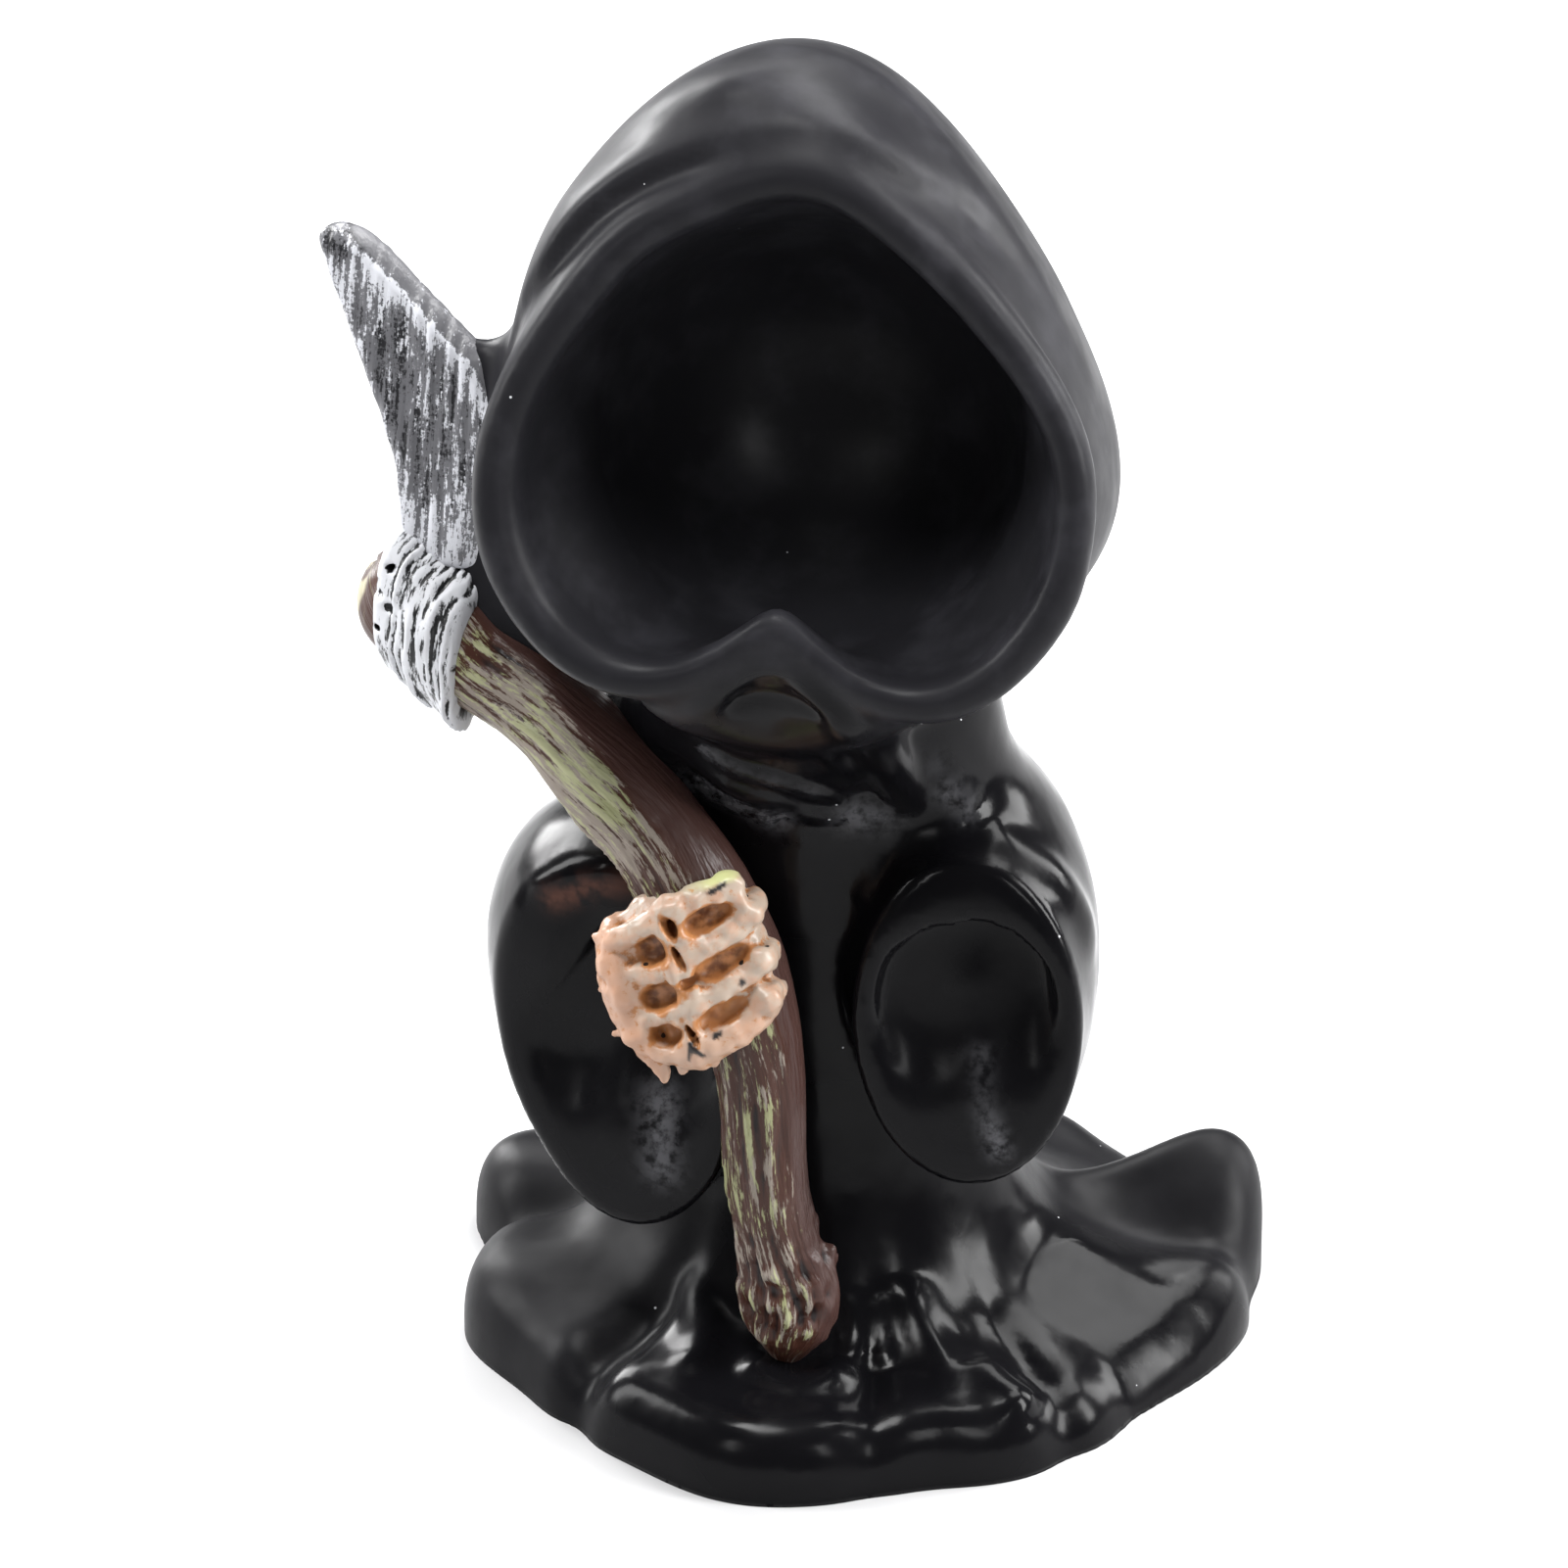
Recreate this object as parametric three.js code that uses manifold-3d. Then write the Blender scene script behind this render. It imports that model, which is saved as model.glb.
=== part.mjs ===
// Grim reaper figurine: a hooded robe with nothing in its hood, leaning on a scythe that a skeleton
// hand holds. It is one small casting that stands on the flat underside of its spread hem.
// Millimetres, +Z up. The figure looks towards -Y, and the origin is the middle of the underside.
import * as THREE from "three";
import { mergeVertices } from "three/addons/utils/BufferGeometryUtils.js";
import Module from "manifold-3d";

const wasm = await Module();
wasm.setup();

// Driving dimensions
const HEM_REACH = 33.5;          // radius of the spread hem, between its lobes
const HEM_THICKNESS = 5.6;       // height of the flat part of the hem
const TRUNK_AXIS = [-3.6, -2];   // where the trunk of the robe rises out of the hem
const TRUNK_RADIUS = 11.5;       // radius at which the hem starts to sweep up into the trunk
const SWEEP_HEIGHT = 24;         // how high that sweep climbs
const NECK_TOP = 74;             // where the trunk ends, inside the back of the hood
const HOOD_MIDDLE = [-2.4, -25.4, 94];  // middle of the hood's opening
const HOOD_TILT = 15;            // degrees that the opening looks up
const OPENING_RADIUS = 19.2;     // radius of the opening at its sides, above its widest place
const HOOD_RADIUS = 24.6;        // plain outer radius of the hood, before its crown and jowls
const HOOD_WIDEST = 12;          // how far behind the opening the hood is widest
const HOOD_BACK = 27;            // from there to the back of the hood
const HOOD_FRONT = 22;           // from there to the front, if the opening didn't cut it
const HOOD_ASIDE = -1.1;         // how far the hood's own middle lies to the side of the opening's
const HOOD_SQUARENESS = 2.3;     // 2 is an ellipse, more is fuller
const HOLLOW_DEPTH = 27;         // depth of the empty bowl in the hood
const HOLLOW_RADIUS = 19;        // radius of that bowl
const STAFF_RADIUS = 4.4;        // radius of the scythe's staff
const BINDING_RADIUS = 5.4;      // radius over the cord wound round the staff's end
const BLADE_THICKNESS = 3.8;     // at its middle
const ROBE_BLACK = 0x1b1a1d;

// Ways to blend and measure forms. A form is a function of a point, negative inside the form and
// about the distance to its surface near it
const { degToRad, smoothstep: ease, lerp } = THREE.MathUtils;

function smoothMin(a, b, width) {
  const share = THREE.MathUtils.clamp(0.5 + (0.5 * (b - a)) / width, 0, 1);
  return lerp(b, a, share) - width * share * (1 - share);
}

function smoothMax(a, b, width) {
  return -smoothMin(-a, -b, width);
}

function bell(x, width) {
  return Math.exp(-((x / width) ** 2));
}

function angleBetween(a, b) {
  return THREE.MathUtils.euclideanModulo(a - b + 180, 360) - 180;
}

function egg(p, [x, y, z], [rx, ry, rz]) {
  const q = new THREE.Vector3((p.x - x) / rx, (p.y - y) / ry, (p.z - z) / rz);
  const size = q.length() + 1e-9;
  const slope = new THREE.Vector3(q.x / rx, q.y / ry, q.z / rz).length() + 1e-9;
  return (size * (size - 1)) / slope;
}

// Reads a table of rows at a height: the first column is the height, the others are blended
function rowAt(table, height) {
  const last = table.length - 1;
  const next = table.findIndex((row) => row[0] > height);
  const high = next < 0 ? last : Math.max(next, 1);
  const [below, above] = [table[high - 1], table[high]];
  const share = THREE.MathUtils.clamp((height - below[0]) / (above[0] - below[0]), 0, 1);
  return below.slice(1).map((value, column) => lerp(value, above[column + 1], share));
}

// The hem: a thick puddle of cloth with lobes and creases round it. Angles are in degrees from the
// front, growing towards +X
const HEM_LOBES = [
  { at: -65, width: 14, out: 3, up: 1.6 },
  { at: -101, width: 11, out: 4.4, up: 1.8 },
  { at: -124, width: 12, out: -0.8, up: -3.7 },
  { at: -36, width: 13, out: 1.4, up: 0.2 },
  { at: -8, width: 17, out: 3.3, up: 0.6 },
  { at: 20, width: 8, out: -0.7, up: 0.5 },
  { at: 62, width: 15, out: -1.9, up: -0.4 },
  { at: 97, width: 9, out: 0.9, up: 1.6 },
  { at: 116, width: 12, out: 2.2, up: 6.2 },
  { at: 146, width: 15, out: -0.6, up: -3.1 },
  { at: -154, width: 15, out: 0.4, up: 0.8 },
  { at: 180, width: 12, out: 0.2, up: 0.3 },
];
const HEM_CREASES = [
  { at: -85, width: 5, depth: 2.6 },
  { at: -38, width: 4.5, depth: 2.4 },
  { at: 96, width: 6, depth: 2.6 },
  { at: 52, width: 4, depth: 1.8 },
  { at: 26, width: 4, depth: 1.2 },
  { at: -2, width: 5, depth: 0.8 },
  { at: 130, width: 9, depth: 2.8 },
  { at: -129, width: 6, depth: 2.0 },
  { at: 165, width: 6, depth: 1.5 },
  { at: -168, width: 6, depth: 1.5 },
];

const HEM_EDGE_BLEND = 5;   // how softly the hem's upper edge is rounded
function hemForm(p) {
  const radius = Math.hypot(p.x, p.y);
  const angle = THREE.MathUtils.radToDeg(Math.atan2(p.x, -p.y));
  let reach = HEM_REACH;
  let lift = 0;
  for (const { at, width, out, up } of HEM_LOBES) {
    const share = bell(angleBetween(angle, at), width);
    reach += out * share;
    lift += up * share;
  }
  let crease = 0;
  for (const { at, width, depth } of HEM_CREASES) crease += depth * bell(angleBetween(angle, at), width);
  const fromTrunk = Math.hypot((p.x - TRUNK_AXIS[0]) / 1.05, p.y - TRUNK_AXIS[1]);
  const sweep = SWEEP_HEIGHT * Math.exp(-Math.max(fromTrunk - TRUNK_RADIUS, 0) / 4.6);
  const outside = ease(radius, 13, 31);
  const height = HEM_THICKNESS + sweep + (lift - crease) * outside + 0.6 * ease(radius, 24, 33);
  const top = (p.z - height) * 0.75;
  const side = radius - reach + 0.35 * crease * outside;
  return smoothMax(top, side, HEM_EDGE_BLEND);
}

// The trunk: an oval column. Height, half width, half depth, and the middle's x and y
const TRUNK = [
  [0, 15, 14, -3.6, -2],
  [14, 13.6, 12.6, -3.8, -2.2],
  [26, 13, 12.4, -4.2, -2.6],
  [36, 14.6, 13.6, -4.8, -3.2],
  [46, 17, 14.6, -5, -3.8],
  [54, 16, 14.2, -4.8, -4.2],
  [61, 12.6, 14.4, -4.6, -5.2],
  [68, 12.6, 13.4, -3.6, -6.6],
  [80, 11.5, 12, -3, -8],
];
const TRUNK_CAP_BLEND = 6;   // how softly the trunk's top edge is rounded

// Long folds down the back of the trunk, shallow at both ends
const BACK_FOLDS = [
  { at: 148, width: 8, depth: 1.5 },
  { at: 172, width: 6, depth: 1.1 },
  { at: -164, width: 8, depth: 1.6 },
  { at: -138, width: 7, depth: 1.1 },
];

function trunkForm(p) {
  const [halfWidth, halfDepth, x, y] = rowAt(TRUNK, p.z);
  const oval = Math.hypot((p.x - x) / halfWidth, (p.y - y) / halfDepth);
  const angle = THREE.MathUtils.radToDeg(Math.atan2(p.x - x, y - p.y));
  let fold = 0;
  for (const { at, width, depth } of BACK_FOLDS) fold += depth * bell(angleBetween(angle, at), width);
  const side = (oval - 1) * Math.min(halfWidth, halfDepth) * 0.9;
  const folded = side + fold * ease(p.z, 8, 22) * (1 - ease(p.z, 42, 60));
  return smoothMax(folded, p.z - NECK_TOP, TRUNK_CAP_BLEND);
}

// Shoulders and the rolled collar under the hood: the middle of each and its half sizes
const LEFT_SHOULDER = [[-13.4, -4, 47], [9, 9, 8]];
const RIGHT_SHOULDER = [[8.4, -4.5, 48.8], [9, 9.5, 9]];
const COLLAR = [[-4.6, -10.5, 66], [14.8, 13, 7.5]];
const TRUNK_BLEND = 7;      // how softly the hem runs into the trunk
const SHOULDER_BLEND = 5;   // and the shoulders
const COLLAR_BLEND = 3;     // and the collar

function robeForm(p) {
  const shoulders = Math.min(egg(p, ...LEFT_SHOULDER), egg(p, ...RIGHT_SHOULDER));
  const body = smoothMin(hemForm(p), trunkForm(p), TRUNK_BLEND);
  return smoothMin(smoothMin(body, shoulders, SHOULDER_BLEND), egg(p, ...COLLAR), COLLAR_BLEND);
}

// Sleeves: an egg-shaped bag of cloth that ends in an oval mouth. The mouth has a place, the way it
// looks, a lean in degrees and its half width and half height
const LEFT_SLEEVE = {
  arm: [[-21.6, -8, 40.4], [9.7, 11.5, 11.2]],
  bag: [[-19.5, -13.5, 38], [10.5, 11, 15.5]],
  mouth: [-17, -23, 35.5],
  looks: [-0.22, -1, 0.12],
  lean: 4,
  half: [10.6, 16.6],
  lip: 1.5,
  dish: 3.6,
};
const RIGHT_SLEEVE = {
  arm: [[9.8, -6.6, 44], [10.2, 12.5, 12.8]],
  bag: [[11.8, -13, 41], [9.3, 11, 13.8]],
  mouth: [12.6, -22.5, 40.6],
  looks: [0.12, -1, 0.16],
  lean: 3,
  half: [9.7, 14.4],
  lip: 1.9,
  dish: 3.2,
};

// The mouth's own axes: right, up and out of the sleeve
function mouthFrame({ mouth, looks, lean }) {
  const out = new THREE.Vector3(...looks).normalize();
  const right = new THREE.Vector3(0, 0, 1).cross(out).normalize();
  const up = new THREE.Vector3().crossVectors(out, right);
  right.applyAxisAngle(out, degToRad(lean));
  up.applyAxisAngle(out, degToRad(lean));
  return new THREE.Matrix4().makeBasis(right, up, out).setPosition(...mouth);
}

function sleeveForm(sleeve) {
  const toMouth = mouthFrame(sleeve).invert();
  const [halfWidth, halfHeight] = sleeve.half;
  return (p) => {
    const { x, y, z } = p.clone().applyMatrix4(toMouth);
    const oval = (Math.hypot(x / halfWidth, y / halfHeight) - 1) * halfWidth * 0.9;
    const tube = smoothMax(smoothMax(oval + 0.05 * Math.max(-z, 0), z, 1.6), -z - 14, 5);
    const bag = smoothMin(egg(p, ...sleeve.bag), tube, 4);
    return smoothMin(smoothMax(bag, z, 1.2), egg(p, ...sleeve.arm), 4);
  };
}

// The hood. Its own axes are right, up and inward from the middle of the opening, and an angle there
// is measured from the top of the opening, growing to the right
const HOOD_FRAME = new THREE.Matrix4()
  .makeRotationX(degToRad(-HOOD_TILT))
  .setPosition(...HOOD_MIDDLE);

function hoodPoint(angle, radius, inward) {
  const turn = degToRad(angle);
  const local = new THREE.Vector3(radius * Math.sin(turn), inward, radius * Math.cos(turn));
  return local.applyMatrix4(HOOD_FRAME);
}

// The opening is a wide heart, point up: round on top, widest low down, with a cusp in its lower edge
function openingRadius(angle) {
  const side = Math.abs(angle);
  const heart = OPENING_RADIUS + 1.9 * bell(side, 18) + 3.9 * ease(side, 50, 118);
  const lean = 0.6 * bell(angle + 36, 20) - 0.6 * bell(angle - 42, 20) + 0.5 * bell(angle - 86, 16);
  return heart + lean - 10.4 * bell(180 - side, 25);
}

function hoodRadius(angle) {
  const side = Math.abs(angle);
  const crown = 7.8 * bell(angle + 3.5, 34.5) + 1.5 * bell(angle + 48, 24) - 1.1 * bell(angle - 36, 24);
  const jowls = 2.2 * ease(side, 60, 115) - 1.6 * bell(side - 135, 22) + 0.5 * bell(angle - 102, 16);
  return HOOD_RADIUS + crown + jowls - 0.7 * bell(angle - 16, 16) - 0.4 * bell(angle - 66, 18);
}

// Half of a full oval: how far along its axis and how wide it is, at a turn from 0 at its pole to 90
function fullOval(turn) {
  const power = 2 / HOOD_SQUARENESS;
  return [Math.cos(degToRad(turn)) ** power, Math.sin(degToRad(turn)) ** power];
}

const THROAT_FALL = 3.6;   // how far the cloth under the cusp falls back towards the throat
function outerRow(wide, inward, fall = 0) {
  return (angle) => {
    const fallen = inward + fall * bell(180 - Math.abs(angle), 42);
    const point = hoodPoint(angle, wide * hoodRadius(angle), fallen);
    point.x += HOOD_ASIDE;
    return point;
  };
}

// The edge of the hood is a round lip
const LIP_INWARD = 1.6;
function lipRadius(angle) {
  return 2 + 0.3 * bell(angle + 118, 30) - 0.25 * bell(angle - 110, 40);
}

// Rows of a turned blank go from one pole to the other. Each row says where its points lie
const HOOD_ROWS = [() => hoodPoint(0, 0, LIP_INWARD)];
for (const turn of [140, 100, 60, 20, -20]) {
  HOOD_ROWS.push((angle) => {
    const lip = lipRadius(angle);
    const middle = openingRadius(angle) + lip - 0.1 + 0.5 * bell(angle + 118, 30);
    const radius = middle + lip * Math.cos(degToRad(turn));
    return hoodPoint(angle, radius, LIP_INWARD - lip * Math.sin(degToRad(turn)));
  });
}
for (const [turn, share] of [[66, 1], [78, 0.3]]) {
  const [along, wide] = fullOval(turn);
  HOOD_ROWS.push(outerRow(wide, HOOD_WIDEST - along * HOOD_FRONT, share * THROAT_FALL));
}
for (const turn of [90, 76, 62, 48, 33, 17, 0]) {
  const [along, wide] = fullOval(turn);
  HOOD_ROWS.push(outerRow(wide, HOOD_WIDEST + along * HOOD_BACK));
}

const HOLLOW_CLEARANCE = 8;   // how far the tool that hollows the hood stands out of the opening
const HOLLOW_ROWS = [
  () => hoodPoint(0, 0, -HOLLOW_CLEARANCE),
  (angle) => hoodPoint(angle, openingRadius(angle), -HOLLOW_CLEARANCE),
  (angle) => hoodPoint(angle, openingRadius(angle), 0.5),
];
for (const turn of [80, 68, 54, 38, 20, 0]) {
  const [along, wide] = fullOval(turn);
  HOLLOW_ROWS.push((angle) => {
    const inward = along * HOLLOW_DEPTH;
    const radius = lerp(openingRadius(angle), HOLLOW_RADIUS, ease(inward, 0.5, 11));
    return hoodPoint(angle, wide * radius, inward);
  });
}

// Folds of cloth rucked up on the chest and throat: the line of each fold's crest and its radius
const CHEST_FOLDS = [
  { crest: [[-12.4, -18.6, 65], [-7.7, -20.8, 62], [-4, -19.4, 60.4], [1.4, -15.2, 57.6]], radius: 2 },
  { crest: [[-8, -21.4, 69.5], [-4, -21.8, 64.2], [0, -18.9, 60.4], [2.6, -15.4, 57.6]], radius: 1.7 },
  { crest: [[3.4, -24.6, 73.6], [4.8, -21.4, 67], [6.2, -16.4, 60], [8.8, -11.6, 54.4]], radius: 1.9 },
  { crest: [[1, -20.8, 67.6], [1.6, -20.2, 62.4], [3.6, -16.8, 57], [6, -13.4, 52.4]], radius: 1.5 },
  { crest: [[5.2, -13.6, 55.6], [3, -16.2, 50.4], [1, -14.8, 44.6]], radius: 1.5 },
];

// The scythe: a bent staff from its bound upper end, past the hand, down to the hem
const STAFF_PATH = new THREE.CatmullRomCurve3([
  new THREE.Vector3(-36.9, -13.4, 72),
  new THREE.Vector3(-30.9, -14.6, 66.7),
  new THREE.Vector3(-25.7, -16.4, 64.4),
  new THREE.Vector3(-20.6, -18.8, 61.5),
  new THREE.Vector3(-15.8, -21.2, 57),
  new THREE.Vector3(-11.4, -23, 51.2),
  new THREE.Vector3(-8.4, -24.4, 44.6),
  new THREE.Vector3(-6.6, -25, 37),
  new THREE.Vector3(-4.6, -24.8, 21),
  new THREE.Vector3(-3.8, -24.4, 13.5),
]);
const STAFF_TIP = [-3, -24.2, 7];
const BINDING_ENDS = [[-36.6, -13.6, 71.7], [-29.4, -14.9, 65.6]];
const BINDING_WRAPS = 6;
const CORD_GROOVE = 0.6;   // depth of the groove between two turns of the cord

// The blade: a curved fang seen from the side, from its root at the binding to its blunt tip. Its own
// axes are right, up and towards the front. Each row is a height with the left and the right edge
const BLADE_ROOT = [-35, -13, 73];
const BLADE_UP = [0.02, 0.21, 0.95];
const BLADE_FACES = [-0.1, -0.97, 0.22];
const BLADE = [
  [-2, -2.6, 3.4],
  [4, -2.9, 4.6],
  [10, -3.8, 6.4],
  [15, -5.7, 7.4],
  [20, -8, 4],
  [25, -10.3, -2],
  [28, -11.6, -5.6],
  [30.2, -12.3, -9.2],
];
const BLADE_SQUARENESS = 0.6;   // 1 is an oval section, less is a flat plate with round edges

// The hand: a fist of bones round the staff. Its own axes are right, up along the staff and front
const HAND_MIDDLE = [-9.3, -24.4, 46.2];
const HAND_UP = [-0.26, 0.1, 0.96];
const HAND_FRONT = [0.1, -0.95, 0];
const FINGER_HEIGHTS = [5.6, 2, -1.6, -4.9];
const PALM = [
  { middle: [-4.6, 0.2, 2.2], half: [5.6, 7.2, 4] },
  { middle: [0.4, 0.4, 2.6], half: [4.6, 6.8, 2.9] },
];

// Turns a frame's front and rough up into a full set of axes: right, up, front
function frameFrom(up, front, origin) {
  const upward = new THREE.Vector3(...up).normalize();
  const forward = new THREE.Vector3(...front);
  forward.addScaledVector(upward, -forward.dot(upward)).normalize();
  const right = new THREE.Vector3().crossVectors(upward, forward);
  return new THREE.Matrix4().makeBasis(right, upward, forward).setPosition(...origin);
}

// Makes a closed mesh ready to be joined: only places are left, and no triangle is folded shut
function toSolid(geometry) {
  geometry.deleteAttribute("normal");
  geometry.deleteAttribute("uv");
  const merged = mergeVertices(geometry, 1e-4);
  const corners = merged.index.array;
  const kept = [];
  for (let i = 0; i < corners.length; i += 3) {
    const [a, b, c] = corners.slice(i, i + 3);
    if (a !== b && b !== c && c !== a) kept.push(a, b, c);
  }
  const mesh = new wasm.Mesh({
    numProp: 3,
    vertProperties: new Float32Array(merged.attributes.position.array),
    triVerts: new Uint32Array(kept),
  });
  return new wasm.Manifold(mesh);
}

// A turned blank with one ring of points for each row, whose points are then put where the rows say
function turned(rows, sides) {
  const last = rows.length - 1;
  const profile = rows.map((row, i) => new THREE.Vector2(i === 0 || i === last ? 0 : 1, i));
  const blank = new THREE.LatheGeometry(profile, sides);
  const at = blank.attributes.position;
  for (let i = 0; i < at.count; i++) {
    const side = Math.floor(i / rows.length) % sides;
    const point = rows[i % rows.length]((360 * side) / sides - 180);
    at.setXYZ(i, point.x, point.y, point.z);
  }
  return toSolid(blank);
}

// Follows a ray outwards from inside a form to the form's surface
const RAY_STEP = 0.5;
const RAY_END = 60;
const RAY_HALVINGS = 12;
function surfaceAlong(form, start, direction) {
  const at = (distance) => form(start.clone().addScaledVector(direction, distance));
  let outside = RAY_STEP;
  while (outside < RAY_END && at(outside) < 0) outside += RAY_STEP;
  let inside = outside - RAY_STEP;
  for (let i = 0; i < RAY_HALVINGS; i++) {
    const middle = (inside + outside) / 2;
    if (at(middle) < 0) inside = middle;
    else outside = middle;
  }
  return start.clone().addScaledVector(direction, outside);
}

// Rays that carve the robe from its blank, from the underside to the neck: how far out and how high
// each starts, and how steeply it rises, in degrees
const EDGE_RAYS = [10, 35, 60].map((rise) => [26.5, 1, rise]);
const HEM_RAYS = [25, 21.5, 18.5].map((out) => [out, 1, 90]);
const SWEEP_RAYS = [[16, 3, 80], [12, 5, 62], [9, 9, 42], [8, 13, 20]];
const TRUNK_RAYS = [19, 25, 31, 37, 42, 46, 50, 54, 57, 60, 63, 66, 69].map((high) => [4, high, 0]);
const ROBE_RAYS = [[20, 0, 0], ...EDGE_RAYS, ...HEM_RAYS, ...SWEEP_RAYS, ...TRUNK_RAYS, [2, 72, 40]];
const SWEEP_TOP = 12;
const ROBE_SIDES = 62;

function robeRow([out, high, rise]) {
  const [, , axisX, axisY] = rowAt(TRUNK, high);
  const onTrunk = ease(high, 0, SWEEP_TOP);
  return (angle) => {
    const outward = new THREE.Vector3(Math.sin(degToRad(angle)), -Math.cos(degToRad(angle)), 0);
    const start = outward.clone().multiplyScalar(out);
    start.add(new THREE.Vector3(axisX * onTrunk, axisY * onTrunk, high));
    const direction = outward.multiplyScalar(Math.cos(degToRad(rise)));
    direction.z = Math.sin(degToRad(rise));
    return surfaceAlong(robeForm, start, direction);
  };
}

function robe() {
  const underside = () => new THREE.Vector3(0, 0, 0);
  const neck = () => new THREE.Vector3(TRUNK[7][3], TRUNK[7][4], NECK_TOP);
  return turned([underside, ...ROBE_RAYS.map(robeRow), neck], ROBE_SIDES);
}

const SLEEVE_SIDES = 20;
function sleeve(shape) {
  const frame = mouthFrame(shape);
  const middle = new THREE.Vector3(...shape.bag[0]);
  const ball = new THREE.SphereGeometry(1, SLEEVE_SIDES, 13).rotateX(Math.PI / 2);
  const form = sleeveForm(shape);
  const axes = new THREE.Matrix4().extractRotation(frame);
  const at = ball.attributes.position;
  for (let i = 0; i < at.count; i++) {
    const direction = new THREE.Vector3().fromBufferAttribute(at, i).applyMatrix4(axes).normalize();
    const point = surfaceAlong(form, middle, direction);
    at.setXYZ(i, point.x, point.y, point.z);
  }
  const [halfWidth, halfHeight] = shape.half;
  const dish = new THREE.SphereGeometry(1, SLEEVE_SIDES, 8).rotateX(Math.PI / 2);
  dish.scale(halfWidth - shape.lip, halfHeight - shape.lip, shape.dish).applyMatrix4(frame);
  return toSolid(ball).subtract(toSolid(dish));
}

const HOOD_SIDES = 38;
function hood() {
  return turned(HOOD_ROWS, HOOD_SIDES);
}

function hoodHollow() {
  return turned(HOLLOW_ROWS, HOOD_SIDES);
}

// A turned rod between two points, from a profile of [share of the length, radius] pairs
function rod(from, to, profile, sides) {
  const start = new THREE.Vector3(...from);
  const axis = new THREE.Vector3(...to).sub(start);
  const length = axis.length();
  const points = profile.map(([share, radius]) => new THREE.Vector2(radius, share * length));
  const turnedRod = new THREE.LatheGeometry(points, sides);
  const quarter = new THREE.Quaternion().setFromUnitVectors(new THREE.Vector3(0, 1, 0), axis.normalize());
  turnedRod.applyQuaternion(quarter).translate(...start);
  return turnedRod;
}

const STAFF_SIDES = 10;
function staff() {
  const section = new THREE.Shape().absarc(0, 0, STAFF_RADIUS, 0, 2 * Math.PI);
  const tube = new THREE.ExtrudeGeometry(section, {
    steps: 20,
    curveSegments: STAFF_SIDES / 2,
    extrudePath: STAFF_PATH,
  });
  const knob = new THREE.SphereGeometry(STAFF_RADIUS, STAFF_SIDES, 7).translate(...STAFF_PATH.getPoint(0));
  const end = STAFF_PATH.getPoint(1).toArray();
  const tipProfile = [[-0.1, 0], [-0.1, 4], [0.1, 4.6], [0.4, 4.3], [0.8, 3.2], [1, 2], [1, 0]];
  return toSolid(tube).add(toSolid(knob)).add(toSolid(rod(end, STAFF_TIP, tipProfile, STAFF_SIDES)));
}

function chestFold({ crest, radius }) {
  const section = new THREE.Shape().absarc(0, 0, radius, 0, 2 * Math.PI);
  const path = new THREE.CatmullRomCurve3(crest.map((point) => new THREE.Vector3(...point)));
  return toSolid(new THREE.ExtrudeGeometry(section, { steps: 5, curveSegments: 3, extrudePath: path }));
}

function binding() {
  const profile = [[0, 0]];
  for (let wrap = 0; wrap < BINDING_WRAPS; wrap++) {
    profile.push([wrap / BINDING_WRAPS, BINDING_RADIUS - CORD_GROOVE]);
    profile.push([(wrap + 0.5) / BINDING_WRAPS, BINDING_RADIUS]);
  }
  profile.push([1, BINDING_RADIUS - CORD_GROOVE], [1, 0]);
  return toSolid(rod(...BINDING_ENDS, profile, STAFF_SIDES));
}

function bladeRow(height, swell) {
  const frame = frameFrom(BLADE_UP, BLADE_FACES, BLADE_ROOT);
  const [left, right] = rowAt(BLADE, height);
  const flatten = (share) => Math.sign(share) * Math.abs(share) ** BLADE_SQUARENESS;
  return (angle) => {
    const across = (swell * (right - left) * flatten(Math.sin(degToRad(angle)))) / 2;
    const through = (swell * BLADE_THICKNESS * flatten(Math.cos(degToRad(angle)))) / 2;
    return new THREE.Vector3((left + right) / 2 + across, height, through).applyMatrix4(frame);
  };
}

function blade() {
  const [root, tip] = [BLADE[0][0], BLADE.at(-1)[0]];
  const rows = [bladeRow(root, 0), bladeRow(root, 1)];
  for (let height = root + 3; height < tip - 1.5; height += 2.8) rows.push(bladeRow(height, 1));
  rows.push(bladeRow(tip - 0.8, 0.9), bladeRow(tip - 0.2, 0.5), bladeRow(tip, 0));
  return turned(rows, 10);
}

// A bone: thick at both ends, with a narrower shaft
function bone(from, to, fromRadius, toRadius, waist) {
  const middle = (fromRadius + toRadius) / 2 - waist;
  const profile = [
    [-0.2, 0],
    [0.05, fromRadius],
    [0.5, middle],
    [0.95, toRadius],
    [1.2, 0],
  ];
  return rod(from, to, profile, 6);
}

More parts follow.
